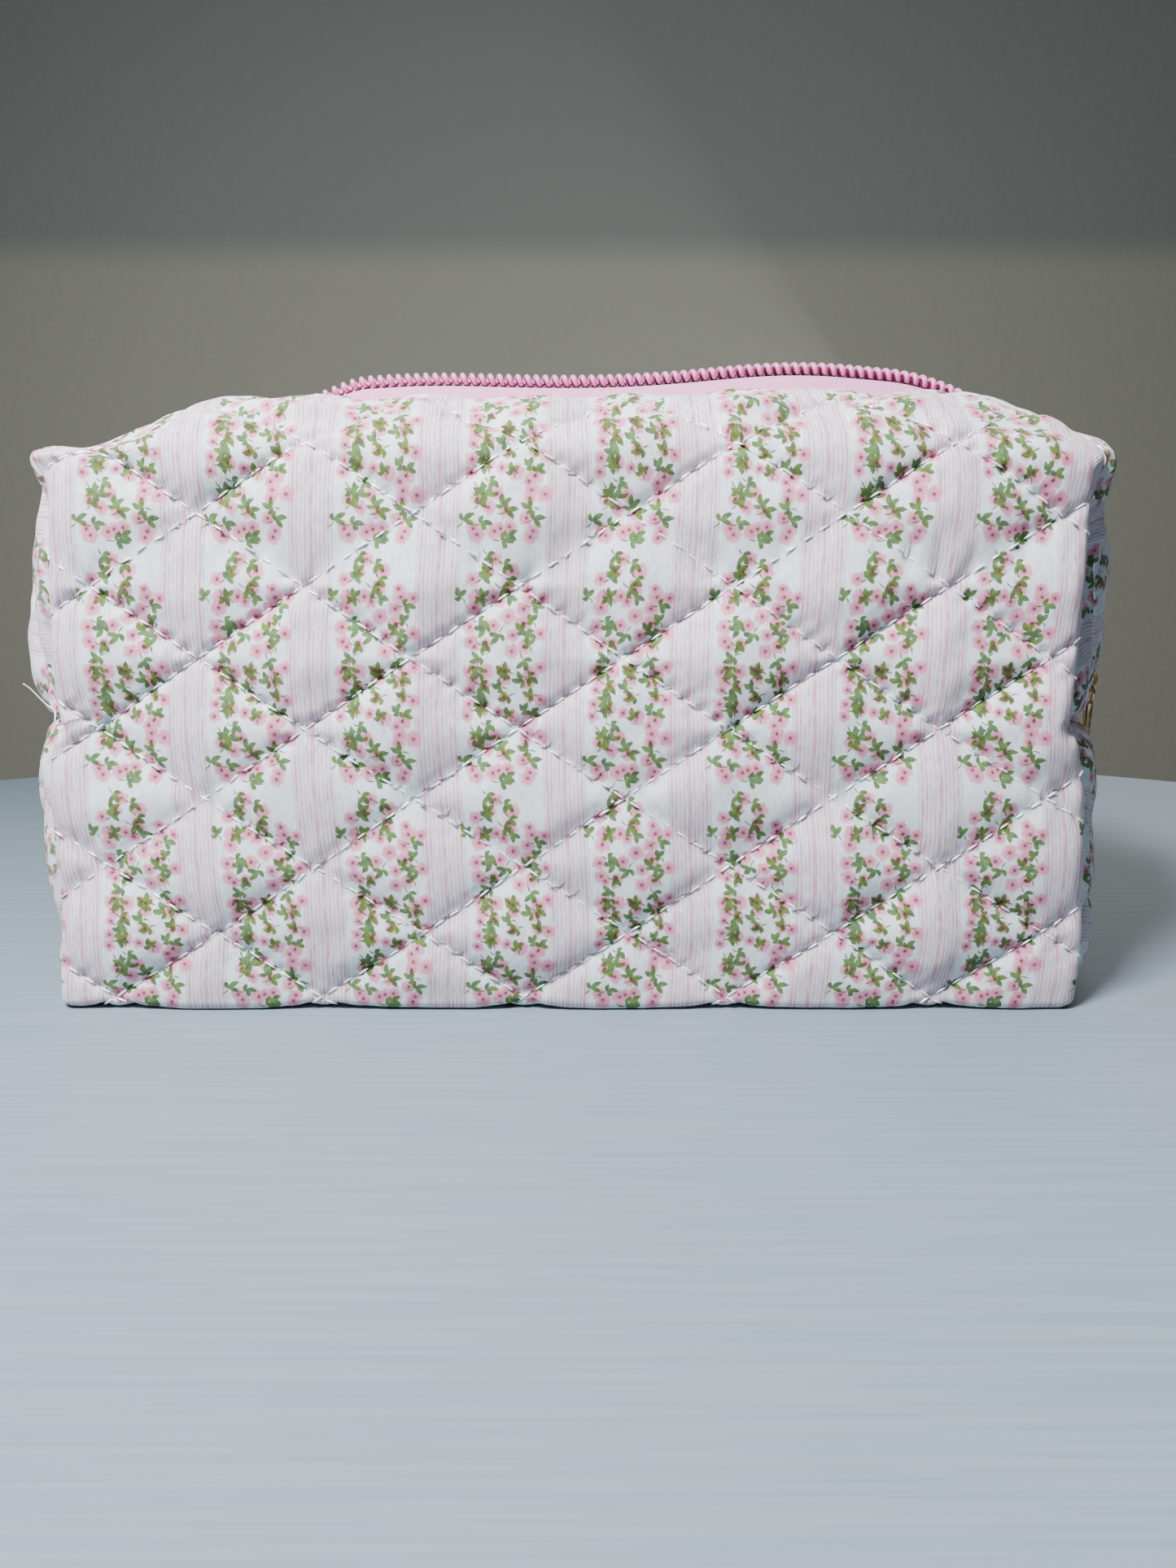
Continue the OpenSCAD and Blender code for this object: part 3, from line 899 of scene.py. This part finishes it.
def stitchTree():
    tree, g, given, out = newGroup(
        "stitches",
        "GeometryNodeTree",
        [geometrySocket, ("Length", floatSocket), ("Thickness", floatSocket), materialSocket],
        [geometrySocket],
    )
    bead = g.node("GeometryNodeMeshUVSphere", {"Segments": 6, "Rings": 5, "Radius": 0.5})
    size = g.join(given.outputs["Length"], given.outputs["Thickness"], given.outputs["Thickness"])
    shaped = g.node("GeometryNodeTransform", {"Geometry": bead.outputs[0], "Scale": size})
    up = g.node("GeometryNodeInputNamedAttribute", {"Name": "up"}, data_type="FLOAT_VECTOR")
    along = g.node("GeometryNodeInputNamedAttribute", {"Name": "along"}, data_type="FLOAT_VECTOR")
    stand = g.node("FunctionNodeAlignRotationToVector", {"Vector": up.outputs[0]}, axis="Z")
    lying = {"Rotation": stand.outputs[0], "Vector": along.outputs[0]}
    turn = g.node("FunctionNodeAlignRotationToVector", lying, axis="X", pivot_axis="Z")
    points = g.node("GeometryNodeMeshToPoints", {"Mesh": given.outputs["Geometry"]})
    placed = g.node(
        "GeometryNodeInstanceOnPoints",
        {"Points": points.outputs[0], "Instance": shaped.outputs[0], "Rotation": turn.outputs[0]},
    )
    real = g.node("GeometryNodeRealizeInstances", {"Geometry": placed.outputs[0]})
    finishTree(g, real, given, out)
    return tree


def grown(name, tree, points, edges, vectors, values):
    # Runs a Geometry Nodes tree over points and edges, and keeps its result as a plain mesh
    mesh = bpy.data.meshes.new(name)
    mesh.from_pydata([tuple(p) for p in np.asarray(points) * mm], edges, [])
    for key, items in vectors.items():
        items = np.asarray(items, np.float32)
        flat = items.ndim == 1
        attribute = mesh.attributes.new(key, "FLOAT" if flat else "FLOAT_VECTOR", "POINT")
        attribute.data.foreach_set("value" if flat else "vector", items.ravel())
    source = bpy.data.objects.new(name + "Source", mesh)
    bpy.context.scene.collection.objects.link(source)
    modifier = source.modifiers.new("grow", "NODES")
    modifier.node_group = tree
    for item in tree.interface.items_tree:
        if item.item_type == "SOCKET" and item.in_out == "INPUT" and item.name in values:
            modifier[item.identifier] = values[item.name]
    graph = bpy.context.evaluated_depsgraph_get()
    result = bpy.data.meshes.new_from_object(source.evaluated_get(graph))
    result.name = name
    for key in ("up", "along", "run"):
        if key in result.attributes:
            result.attributes.remove(result.attributes[key])
    result.polygons.foreach_set("use_smooth", np.full(len(result.polygons), True))
    bpy.data.objects.remove(source)
    obj = bpy.data.objects.new(name, result)
    bpy.context.scene.collection.objects.link(obj)
    return obj


def clothFinder(pad):
    # Finds the point of a pad's outer surface that lies over a point of its flat cloth
    uv, outer = pad["uv"], pad["outer"]
    normal = normalsOf(outer)
    rows, columns = uv.shape[:2]
    index = np.arange(rows * columns).reshape(rows, columns)
    a, b, c, d = [part.ravel() for part in (index[:-1, :-1], index[1:, :-1], index[1:, 1:], index[:-1, 1:])]
    triangles = np.concatenate([np.stack([a, b, c], -1), np.stack([a, c, d], -1)])
    flat = np.concatenate([uv.reshape(-1, 2), np.zeros((rows * columns, 1))], 1)
    tree = BVHTree.FromPolygons([Vector(p) for p in flat], triangles.tolist())
    points, normals = outer.reshape(-1, 3), normal.reshape(-1, 3)

    def find(u, v):
        place, _, face, distance = tree.find_nearest(Vector((u, v, 0)))
        if place is None or distance > 0.05:
            return None
        corners = triangles[face]
        flatCorners = [Vector(flat[i]) for i in corners]
        spot = barycentric_transform(place, *flatCorners, *[Vector(points[i]) for i in corners])
        return np.array(spot), normals[corners].mean(0)

    return find


def latticeLines(uv):
    # Stitch places along every quilting line that crosses this piece of cloth
    f, h = lattice(uv[..., 0], uv[..., 1])
    unit = math.hypot(quilting["stepU"], quilting["stepV"]) / 2
    step = quilting["pitch"] / unit
    for family in (0, 1):
        own, other = (f, h) if family == 0 else (h, f)
        for k in range(math.floor(own.min()), math.ceil(own.max()) + 1):
            for n in range(math.floor(other.min() / step), math.ceil(other.max() / step) + 1):
                ends = []
                for shift in (-0.3, 0, 0.3):
                    first, second = (k, (n + shift) * step) if family == 0 else ((n + shift) * step, k)
                    a, b = (first + second) / 2, (second - first) / 2
                    u = quilting["nodeU"] + a * quilting["stepU"]
                    ends.append((u, quilting["nodeV"] + b * quilting["stepV"]))
                yield ends


def edgeLine(uv, v):
    pitch = quilting["edgePitch"]
    low, high = uv[..., 0].min(), uv[..., 0].max()
    for n in range(math.ceil(low / pitch), math.floor(high / pitch)):
        yield [((n + shift) * pitch, v) for shift in (-0.3, 0, 0.3)]


stitchNodes = stitchTree()
rng = random.Random(7)
for name, pad in list(pads.items()):
    if name == "basePanel":
        continue
    find = clothFinder(pad)
    spots, ups, alongs = [], [], []
    sources = [latticeLines(pad["uv"])]
    if "Flap" in name or "Upper" in name:
        sources.append(edgeLine(pad["uv"], float(flapV(bag["slotHalf"] + quilting["edgeInset"]))))
    for source in sources:
        for ends in source:
            found = [find(*e) for e in ends]
            if any(item is None for item in found):
                continue
            run = found[2][0] - found[0][0]
            size = np.linalg.norm(run)
            if size < 0.6 or size > 3:
                continue
            normal = found[1][1]
            spots.append(found[1][0] + normal * 0.1)
            ups.append(normal)
            slant = np.cross(normal, run / size) * rng.uniform(-0.07, 0.1)
            alongs.append(run / size + slant)
    obj = grown(
        name + "Stitches", stitchNodes, spots, [], {"up": ups, "along": alongs},
        {"Length": quilting["stitch"] * mm, "Thickness": quilting["thread"] * mm, "Material": silver},
    )
    ridePiece(obj, pad["body"], pad["bodies"])
print("stitches ready")


# Lining: thin sheets inside the pads
lining = {"step": 6, "gap": 0.15, "depth": 0.8, "ripple": 0.25}


def buildLining(pad, name, gone):
    step = lining["step"]
    inner = pad["inner"]
    rows = np.unique(np.append(np.arange(0, inner.shape[0], step), inner.shape[0] - 1))
    columns = np.unique(np.append(np.arange(0, inner.shape[1], step), inner.shape[1] - 1))
    grid, uv = inner[np.ix_(rows, columns)], pad["uv"][np.ix_(rows, columns)]
    n = normalsOf(grid)
    ripple = lining["ripple"] * np.abs(waves(uv[..., 0], uv[..., 1], 16, 4)[..., None])
    near, far = grid - n * lining["gap"], grid - n * (lining["depth"] + ripple)
    obj = closedGrid(name, near, far, uv, [liningCloth])
    ridePiece(obj, pad["body"], pad["bodies"])
    d1 = np.linalg.norm(np.diff(grid, axis=0), axis=2).sum(0).max() * mm
    d2 = np.linalg.norm(np.diff(grid, axis=1), axis=2).sum(1).max() * mm
    if gone:
        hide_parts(gone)


liningNodes = {
    "frontPanel": "front_panel_lining",
    "rearPanel": "rear_panel_lining",
    "basePanel": "base_lining",
    "frontFlapRight": "front_flap_lining",
    "rearFlapRight": "rear_flap_lining",
}
for word in ("right", "left"):
    liningNodes[word + "EndLower"] = word + "_end_lower_lining"
    liningNodes[word + "EndUpperFront"] = word + "_end_upper_lining"
for name, pad in pads.items():
    buildLining(pad, name + "Lining", liningNodes.get(name))
print("lining ready")


# Zip: two tapes, two coils and the slider with its pull
zipping = {
    "pitch": 1.65,
    "thread": 0.92,
    "centreY": 1.42,
    "reachY": 1.28,
    "reachUp": 0.69,
    "endAngle": -27.0,
    "tapeEdge": 9.5,  # from the middle, under the cloth
    "tapeInner": 2.2,
    "tapeBelow": 1.3,  # the coils' middle
    "tapeUnder": 2.0,  # the cloth
    "tapeThick": 0.45,
    "loopSteps": 14,
}


def zipPath(side, low, high):
    # Points over the middle of the zip from one angle to another on an end arc
    count = max(2, int((high - low) / 1.2))
    angle = np.radians(np.linspace(high, low, count))
    radial = np.stack([side * np.cos(angle), np.zeros(count), np.sin(angle)], -1)
    centre = np.array([side * bag["arcX"], 0, bag["arcZ"]])
    run = side * (bag["arcX"] + bag["zipR"] * (math.pi / 2 - angle))
    return centre + radial * bag["zipR"], radial, run


def coilTree():
    tree, g, given, out = newGroup(
        "coil",
        "GeometryNodeTree",
        [geometrySocket]
        + [(label, floatSocket) for label in ("Pitch", "Step", "Radius", "Across", "Rise")]
        + [materialSocket],
        [geometrySocket],
    )
    curve = g.node("GeometryNodeMeshToCurve", {"Mesh": given.outputs["Geometry"]})
    steps = {"Curve": curve.outputs[0], "Length": given.outputs["Step"]}
    fine = g.node("GeometryNodeResampleCurve", steps, mode="LENGTH")
    run = g.node("GeometryNodeInputNamedAttribute", {"Name": "run"}, data_type="FLOAT").outputs[0]
    up = g.node("GeometryNodeInputNamedAttribute", {"Name": "up"}, data_type="FLOAT_VECTOR").outputs[0]
    turn = g.calc("MULTIPLY", g.calc("DIVIDE", run, given.outputs["Pitch"]), fullTurn)
    height = g.calc("MULTIPLY", g.calc("SINE", turn), given.outputs["Rise"])
    rise = g.vector("MULTIPLY", up, g.join(height, height, height))
    across = g.join(0.0, g.calc("MULTIPLY", g.calc("COSINE", turn), given.outputs["Across"]))
    moved = {"Geometry": fine.outputs[0], "Offset": g.vector("ADD", rise, across)}
    bent = g.node("GeometryNodeSetPosition", moved)
    size = {"Resolution": 8, "Radius": given.outputs["Radius"]}
    ring = g.node("GeometryNodeCurvePrimitiveCircle", size, mode="RADIUS")
    swept = {"Curve": bent.outputs[0], "Profile Curve": ring.outputs[0], "Fill Caps": True}
    finishTree(g, g.node("GeometryNodeCurveToMesh", swept), given, out)
    return tree


coilNodes = coilTree()


def buildCoil(name, points, radial, run, face, gone, body, bodies=None):
    # Both coils' heads meet over the middle, half a loop apart
    path = settle(points + [0, face * zipping["centreY"], 0])
    edges = [(i, i + 1) for i in range(len(path) - 1)]
    values = {
        "Pitch": zipping["pitch"],
        "Step": zipping["pitch"] / zipping["loopSteps"] * mm,
        "Radius": zipping["thread"] / 2 * mm,
        "Across": zipping["reachY"] * mm,
        "Rise": zipping["reachUp"] * mm,
        "Material": coilMaterial,
    }
    obj = grown(name, coilNodes, path, edges, {"up": radial, "run": run}, values)
    ridePiece(obj, body, bodies)
    if gone:
        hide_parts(gone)


def buildTape(name, outer, inner, uv, gone, body, bodies=None):
    # A woven strip from under the coil to under the cloth's folded edge
    part = np.linspace(0, 1, 9)[None, :, None]
    top = inner[:, None, :] * (1 - part) + outer[:, None, :] * part
    across = np.linalg.norm(outer - inner, axis=1).mean()
    flat = np.stack(np.broadcast_arrays(uv[:, None], np.linspace(0, across, 9)[None, :]), -1)
    n = normalsOf(top)
    outwards = top - np.array([0, 0, 50.0])
    if (n * outwards).sum() < 0:
        top, flat = top[:, ::-1], flat[:, ::-1]
        n = normalsOf(top)
    obj = closedGrid(name, settle(top), settle(top - n * zipping["tapeThick"]), flat, [tape])
    ridePiece(obj, body, bodies)
    if gone:
        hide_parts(gone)


def endTapeLines(side, face):
    us = np.linspace(3, 1.02, 60)
    edge = endPoint(zipping["tapeEdge"], us)
    angle = np.arctan2(edge[:, 2] - bag["arcZ"], edge[:, 0] - bag["arcX"])
    centre = np.array([bag["arcX"], 0, bag["arcZ"]])
    radial = np.stack([np.cos(angle), np.zeros(60), np.sin(angle)], -1)
    outer = edge - radial * zipping["tapeUnder"]
    inner = centre + radial * (bag["zipR"] - zipping["tapeBelow"]) + [0, zipping["tapeInner"], 0]
    keep = angle > math.radians(zipping["endAngle"])
    run = side * (bag["arcX"] + bag["zipR"] * (math.pi / 2 - angle))
    return [line[keep] * [side, face, 1] for line in (outer, inner)] + [run[keep]]


for face, word, body in ((-1, "front", "front_top"), (1, "rear", "rear_top")):
    for side, sideWord in ((1, "Right"), (-1, "Left")):
        x = np.linspace(-bag["overlap"], bag["arcX"], 60) * side
        middleZ = bag["arcZ"] + bag["zipR"]
        straight = np.stack([x, 0 * x, 0 * x + middleZ], -1)
        ups = np.tile([0, 0, 1.0], (60, 1))
        gone = word + "_zip_coil" if side > 0 else None
        buildCoil(word + "Coil" + sideWord, straight, ups, x, face, gone, None, (side, body))
        points, radial, run = zipPath(side, zipping["endAngle"], 90)
        gone = sideWord.lower() + "_end_zip_coils" if face < 0 else None
        buildCoil(word + "EndCoil" + sideWord, points, radial, run, face, gone, "root")
        outerZ = topZ(zipping["tapeEdge"]) - zipping["tapeUnder"]
        outer = np.stack([x, 0 * x + face * zipping["tapeEdge"], 0 * x + outerZ], -1)
        innerZ = middleZ - zipping["tapeBelow"]
        inner = np.stack([x, 0 * x + face * zipping["tapeInner"], 0 * x + innerZ], -1)
        gone = word + "_zip_tape" if side > 0 else None
        buildTape(word + "Tape" + sideWord, outer, inner, x, gone, None, (side, body))
        outer, inner, run = endTapeLines(side, face)
        gone = sideWord.lower() + "_end_zip_tapes" if face < 0 else None
        buildTape(word + "EndTape" + sideWord, outer, inner, run, gone, "root")
print("zip ready")


# Metal slider on the right end, in its own frame: along the zip, across it and outward
sliding = {
    "rest": -20.0,
    "length": 10.0,
    "halfWidth": 4.2,
    "plate": 1.0,
    "clear": 1.45,  # from the middle of the coils to the plate
    "bevel": 0.35,
    "taper": 0.16,
    "square": 0.55,  # power that squares the shield's outline
    "rimWidth": 0.75,
    "rimHeight": 1.1,
    "bridgeTop": 5.0,
    "bridgeHalf": 2.7,
    "bridgeWidth": 1.3,
    "bridgeThick": 0.76,
    "pin": 3.8,
    "loop": 1.75,
    "wire": 0.7,
    "dropHalf": 2.9,
    "dropLength": 6.6,
    "bar": 0.62,
    "dropThick": 1.0,
}


def sliderPlace(points):
    a = math.radians(sliding["rest"])
    along = np.array([-math.sin(a), 0, math.cos(a)])
    outward = np.array([math.cos(a), 0, math.sin(a)])
    centre = np.array([bag["arcX"], 0, bag["arcZ"]]) + outward * bag["zipR"]
    points = np.asarray(points, float)
    drop = points[..., :1] ** 2 / (2 * bag["zipR"])
    sideways = points[..., 1:2] * [0, 1, 0]
    return centre + points[..., :1] * along + sideways + (points[..., 2:] - drop) * outward


def plateSolid(name, outline, low, high, bevel, place, material):
    # A flat plate with rounded edges from an outline in its plane
    outline = np.asarray(outline, float)
    count = len(outline)
    ahead = np.roll(outline, -1, 0) - np.roll(outline, 1, 0)
    inward = np.stack([-ahead[:, 1], ahead[:, 0]], -1)
    inward = inward / np.linalg.norm(inward, axis=1, keepdims=True)
    steps = [(1, 0), (0.29, 0.29), (0, 1)]
    rings = [(b * bevel, low + c * bevel) for b, c in steps]
    rings += [(b * bevel, high - c * bevel) for b, c in steps[::-1]]
    points = [np.column_stack([outline + inward * b, np.full(count, h)]) for b, h in rings]
    middle = outline.mean(0)
    points += [np.array([[*middle, low], [*middle, high]])]
    faces = []
    for r in range(len(rings) - 1):
        for i in range(count):
            j = (i + 1) % count
            faces.append((r * count + i, r * count + j, (r + 1) * count + j, (r + 1) * count + i))
    last = (len(rings) - 1) * count
    centre = len(rings) * count
    for i in range(count):
        j = (i + 1) % count
        faces.append((j, i, centre))
        faces.append((last + i, last + j, centre + 1))
    return meshFrom(name, place(np.concatenate(points)), faces, material)


def meshFrom(name, points, faces, material):
    mesh = bpy.data.meshes.new(name)
    mesh.from_pydata([tuple(p) for p in np.asarray(points) * mm], [], faces)
    mesh.polygons.foreach_set("use_smooth", np.full(len(faces), True))
    mesh.materials.append(material)
    mesh.validate()
    obj = bpy.data.objects.new(name, mesh)
    bpy.context.scene.collection.objects.link(obj)
    return obj


def sweep(name, path, across, width, height, material, place=lambda p: p, closed=False, sides=12):
    # An oval section swept along a path; across is the section's first axis
    path = np.asarray(path, float)
    count = len(path)
    tangent = np.roll(path, -1, 0) - np.roll(path, 1, 0) if closed else np.gradient(path, axis=0)
    tangent /= np.linalg.norm(tangent, axis=1, keepdims=True)
    first = np.tile(np.asarray(across, float), (count, 1))
    first -= (first * tangent).sum(1, keepdims=True) * tangent
    first /= np.linalg.norm(first, axis=1, keepdims=True)
    second = np.cross(tangent, first)
    turn = np.linspace(0, 2 * np.pi, sides, endpoint=False)
    width, height = np.broadcast_to(width, count), np.broadcast_to(height, count)
    rings = (
        path[:, None]
        + first[:, None] * np.cos(turn)[None, :, None] * width[:, None, None] / 2
        + second[:, None] * np.sin(turn)[None, :, None] * height[:, None, None] / 2
    )
    points = rings.reshape(-1, 3)
    faces = []
    for r in range(count if closed else count - 1):
        after = (r + 1) % count
        for i in range(sides):
            j = (i + 1) % sides
            faces.append((r * sides + i, r * sides + j, after * sides + j, after * sides + i))
    if not closed:
        faces.append(tuple(range(sides))[::-1])
        faces.append(tuple((count - 1) * sides + i for i in range(sides)))
    return meshFrom(name, place(points), faces, material)


def taperAt(part):
    return 1 - sliding["taper"] * smooth(0, 1, -part)


def shieldOutline(length, halfWidth):
    turn = np.linspace(0, 2 * np.pi, 56, endpoint=False)
    c, t = np.cos(turn), np.sin(turn)
    along = np.sign(c) * np.abs(c) ** sliding["square"] * length / 2
    across = np.sign(t) * np.abs(t) ** sliding["square"] * halfWidth
    return np.stack([along, across * taperAt(along / (length / 2))], -1)


def joined(name, objects):
    for o in bpy.context.scene.objects:
        o.select_set(False)
    for o in objects:
        o.select_set(True)
    bpy.context.view_layer.objects.active = objects[0]
    bpy.ops.object.join()
    objects[0].name = name
    objects[0].data.name = name
    return objects[0]


def buildSlider():
    half = sliding["length"] / 2
    low, high = sliding["clear"], sliding["clear"] + sliding["plate"]
    outline = shieldOutline(sliding["length"], sliding["halfWidth"])
    upper = plateSolid("plate", outline, low, high, sliding["bevel"], sliderPlace, gold)
    lower = plateSolid("plate", outline, -high, -low, sliding["bevel"], sliderPlace, gold)
    rims = []
    for side in (-1, 1):
        for level in (1, -1):
            t = np.linspace(-half + 1.4, half - 1.2, 12)
            y = side * (sliding["halfWidth"] - 0.35) * taperAt(t / half)
            path = np.stack([t, y, 0 * t + level * (low - 0.1)], -1)
            size = (sliding["rimWidth"], sliding["rimHeight"])
            rims.append(sweep("rim", path, (0, 1, 0), *size, gold, sliderPlace))
    wedge = shieldOutline(2.2, 0.75) + [half - 1.6, 0]
    post = plateSolid("post", wedge, -low - 0.2, low + 0.2, 0.2, sliderPlace, gold)
    body = joined("sliderBody", [upper, lower, post] + rims)
    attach(body, "slider")
    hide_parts("slider_body")
    turn = np.linspace(0, np.pi, 25)
    foot = high - 0.35
    rise = sliding["bridgeTop"] - sliding["bridgeThick"] / 2 - foot
    path = np.stack([-sliding["bridgeHalf"] * np.cos(turn), 0 * turn, foot + rise * np.sin(turn) ** 0.6], -1)
    size = (sliding["bridgeWidth"], sliding["bridgeThick"])
    bridge = sweep("sliderBridge", path, (0, 1, 0), *size, gold, sliderPlace)
    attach(bridge, "slider")
    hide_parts("slider_bridge")


def buildPull():
    # A wire loop through the bridge, a slim bar and a flat oval drop
    a = math.radians(sliding["rest"])
    reach = bag["zipR"] + sliding["pin"]
    pinX, pinZ = bag["arcX"] + reach * math.cos(a), bag["arcZ"] + reach * math.sin(a)
    tip = boxOf("zip_pull")[0][2]
    turn = np.linspace(0, 2 * np.pi, 32, endpoint=False)
    r = sliding["loop"]
    ring = np.stack([0 * turn + pinX, r * 1.05 * np.sin(turn), pinZ - r + r * np.cos(turn)], -1)
    loop = sweep("loop", ring, (1, 0, 0), sliding["wire"], sliding["wire"], gold, closed=True)
    place = lambda p: np.stack([p[:, 2] + pinX, p[:, 0], p[:, 1]], -1)
    middle, neck, half = tip + sliding["dropLength"] / 2, pinZ - 2 * r, sliding["dropLength"] / 2
    barEnd = middle + half - 0.4
    barZ = np.linspace(neck + 0.1, barEnd, 14)
    z = np.concatenate([barZ, middle + half * np.cos(np.linspace(0.55, np.pi, 18))])
    oval = sliding["dropHalf"] * np.sqrt((1 - ((z - middle) / half) ** 2).clip(0))
    bar = sliding["bar"] + 0.35 * np.exp(-(((z - neck) / 0.9) ** 2))
    least = np.where(z > tip + 2, sliding["bar"], 0.03)
    right = np.stack([np.where(z > barEnd, bar, np.maximum(oval, least)), z], -1)
    outline = np.concatenate([right, (right * [-1, 1])[::-1]])
    thick = sliding["dropThick"] / 2
    plate = plateSolid("plate", outline[::-1], -thick, thick, 0.28, place, gold)
    pull = joined("zipPull", [plate, loop])
    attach(pull, "pull")
    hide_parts("zip_pull")


buildSlider()
buildPull()
print("slider ready")


binding = {"width": 6.5, "half": 0.95, "sag": 0.8, "short": 3}


def buildBinding(side, word):
    # Bias tape folded over the end seam's allowance, inside the bag
    y = (bag["hingeY"] - binding["short"]) * np.linspace(-1, 1, 60)
    seam = endPoint(y, 1.0)[:, 0] - bag["wall"] + 0.3
    t = np.linspace(0, 1, 12)
    x = seam[:, None] - binding["width"] * t[None, :]
    half = binding["half"] * np.sqrt((1 - np.clip((t - 0.8) / 0.2, 0, 1) ** 2).clip(0.02))
    ripple = 0.2 * np.sin(y / 3.1)[:, None] * t[None, :]
    middle = bag["seamZ"] - binding["sag"] * t[None, :] ** 2 + ripple
    yy = np.broadcast_to(y[:, None], x.shape)
    grids = []
    for level in (1, -1):
        grids.append(np.stack([side * x, yy, middle + level * half[None, :]], -1))
    uv = np.stack([yy, np.broadcast_to(binding["width"] * t[None, :], x.shape)], -1)
    top, under = grids
    if normalsOf(top)[..., 2].mean() < 0:
        top, under, uv = top[:, ::-1], under[:, ::-1], uv[:, ::-1]
    obj = closedGrid(word + "SeamBinding", settle(top), settle(under), uv, [bindingCloth])
    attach(obj, "root")
    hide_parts(word + "_seam_binding")


buildBinding(1, "right")
buildBinding(-1, "left")


looseEnd = {"start": (-81.6, -35.5, 45.2), "thick": 0.22}


def buildLooseThread():
    # End of the quilting thread left uncut at the left pleat
    t = np.linspace(0, 1, 24)
    bends = [-4.0 * t + 0.7 * np.sin(5 * t), 1.5 * np.sin(3 * t), 6.0 * t + 0.4 * np.sin(9 * t)]
    path = np.stack(bends, -1) + looseEnd["start"]
    obj = sweep("looseThread", path, (0, 1, 0), looseEnd["thick"], looseEnd["thick"], silver, sides=6)
    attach(obj, "root")


buildLooseThread()


# Camera, floor, wall and light
studio = {
    "camera": (0.0032, -0.222, 0.0649),
    "tilt": 9,  # degrees down
    "lens": 27.0327,
    "floorRadius": 330,
    "floorY": -60,
    "floorDark": srgb(116, 131, 141),
    "floorLight": srgb(124, 139, 148),
    "floorLook": {"Roughness": 0.55, "Specular IOR Level": 0.3},
    "wallY": 0.62,
    "wallBelowShadow": srgb(160, 160, 148),
    "wallShadowed": srgb(134, 137, 132),
    "wallShadowEdge": (0.28, 0.31),  # heights over which a painted shadow darkens the wall above
    "wallLook": {"Roughness": 0.85, "Specular IOR Level": 0.2},
    # Each light: size, power, place, target and colour
    "keyLight": (0.1, 5.6, (-0.12, -0.22, 0.35), (-0.03, 0, 0.04), (0.97, 0.98, 1.0)),
    "fillLight": (0.6, 0.7, (-0.6, -0.7, 0.25), (0, 0, 0.05), (0.94, 0.97, 1.0)),
    "backLight": (0.5, 1.3, (0.36, 0.42, 0.3), (0, 0, 0.05), (0.97, 0.98, 1.0)),
    "sky": (0.72, 0.76, 0.8, 1),
    "skyStrength": 0.07,
}


def buildCamera():
    scene = bpy.context.scene
    camera = bpy.data.cameras.new("camera")
    camera.sensor_fit = "AUTO"
    camera.sensor_width = 36
    camera.lens = studio["lens"]
    camera.clip_start = 0.01
    obj = bpy.data.objects.new("camera", camera)
    obj.location = studio["camera"]
    obj.rotation_euler = (math.radians(90 - studio["tilt"]), 0, 0)
    scene.collection.objects.link(obj)
    scene.camera = obj


def floorPaint():
    material, g, shader = principled("floorPaint", studio["floorLook"])
    place = g.node("ShaderNodeTexCoord").outputs["Object"]
    brushed = g.noise(g.vector("MULTIPLY", place, (30.0, 900.0, 1.0)), 1.0, 3.0).outputs["Fac"]
    colour = g.mix(g.ramp(brushed, 0.3, 0.7), studio["floorDark"], studio["floorLight"])
    g.feed(shader.inputs["Base Color"], colour)
    g.bump(shader, brushed, 0.25, 0.0002)
    return material


def wallPaint():
    material, g, shader = principled("wallPaint", studio["wallLook"])
    place = g.node("ShaderNodeTexCoord").outputs["Object"]
    g.bump(shader, g.noise(place, 160.0, 3.0).outputs["Fac"], 0.5, 0.001)
    _, _, high = g.split(place)
    # The wall is darker above the band: a painted shadow line
    shade = g.ramp(high, *studio["wallShadowEdge"])
    g.feed(shader.inputs["Base Color"], g.mix(shade, studio["wallBelowShadow"], studio["wallShadowed"]))
    return material


def buildRoom():
    turn = np.linspace(0, 2 * np.pi, 129)[:-1]
    radius = studio["floorRadius"]
    disc = np.stack([radius * np.cos(turn), radius * np.sin(turn) + studio["floorY"], 0 * turn], -1)
    floor = makeMesh("floor", disc, [list(range(128))], None, [floorPaint()], False)
    corners = [(x, studio["wallY"], z) for x, z in ((-2, -0.6), (2, -0.6), (2, 2), (-2, 2))]
    wall = makeMesh("wall", np.array(corners) / mm, [[0, 1, 2, 3]], None, [wallPaint()], False)


def buildLight(name, size, energy, place, target, colour):
    data = bpy.data.lights.new(name, "AREA")
    data.size = size
    data.energy = energy
    data.color = colour
    obj = bpy.data.objects.new(name, data)
    obj.location = place
    obj.rotation_euler = (Vector(target) - Vector(place)).to_track_quat("-Z", "Y").to_euler()
    bpy.context.scene.collection.objects.link(obj)


def buildWorld():
    world = bpy.data.worlds.new("world")
    world.use_nodes = True
    background = world.node_tree.nodes["Background"]
    background.inputs[0].default_value = studio["sky"]
    background.inputs[1].default_value = studio["skyStrength"]
    bpy.context.scene.world = world


buildCamera()
buildRoom()
for name in ("keyLight", "fillLight", "backLight"):
    buildLight(name, *studio[name])
buildWorld()
print("stage ready")
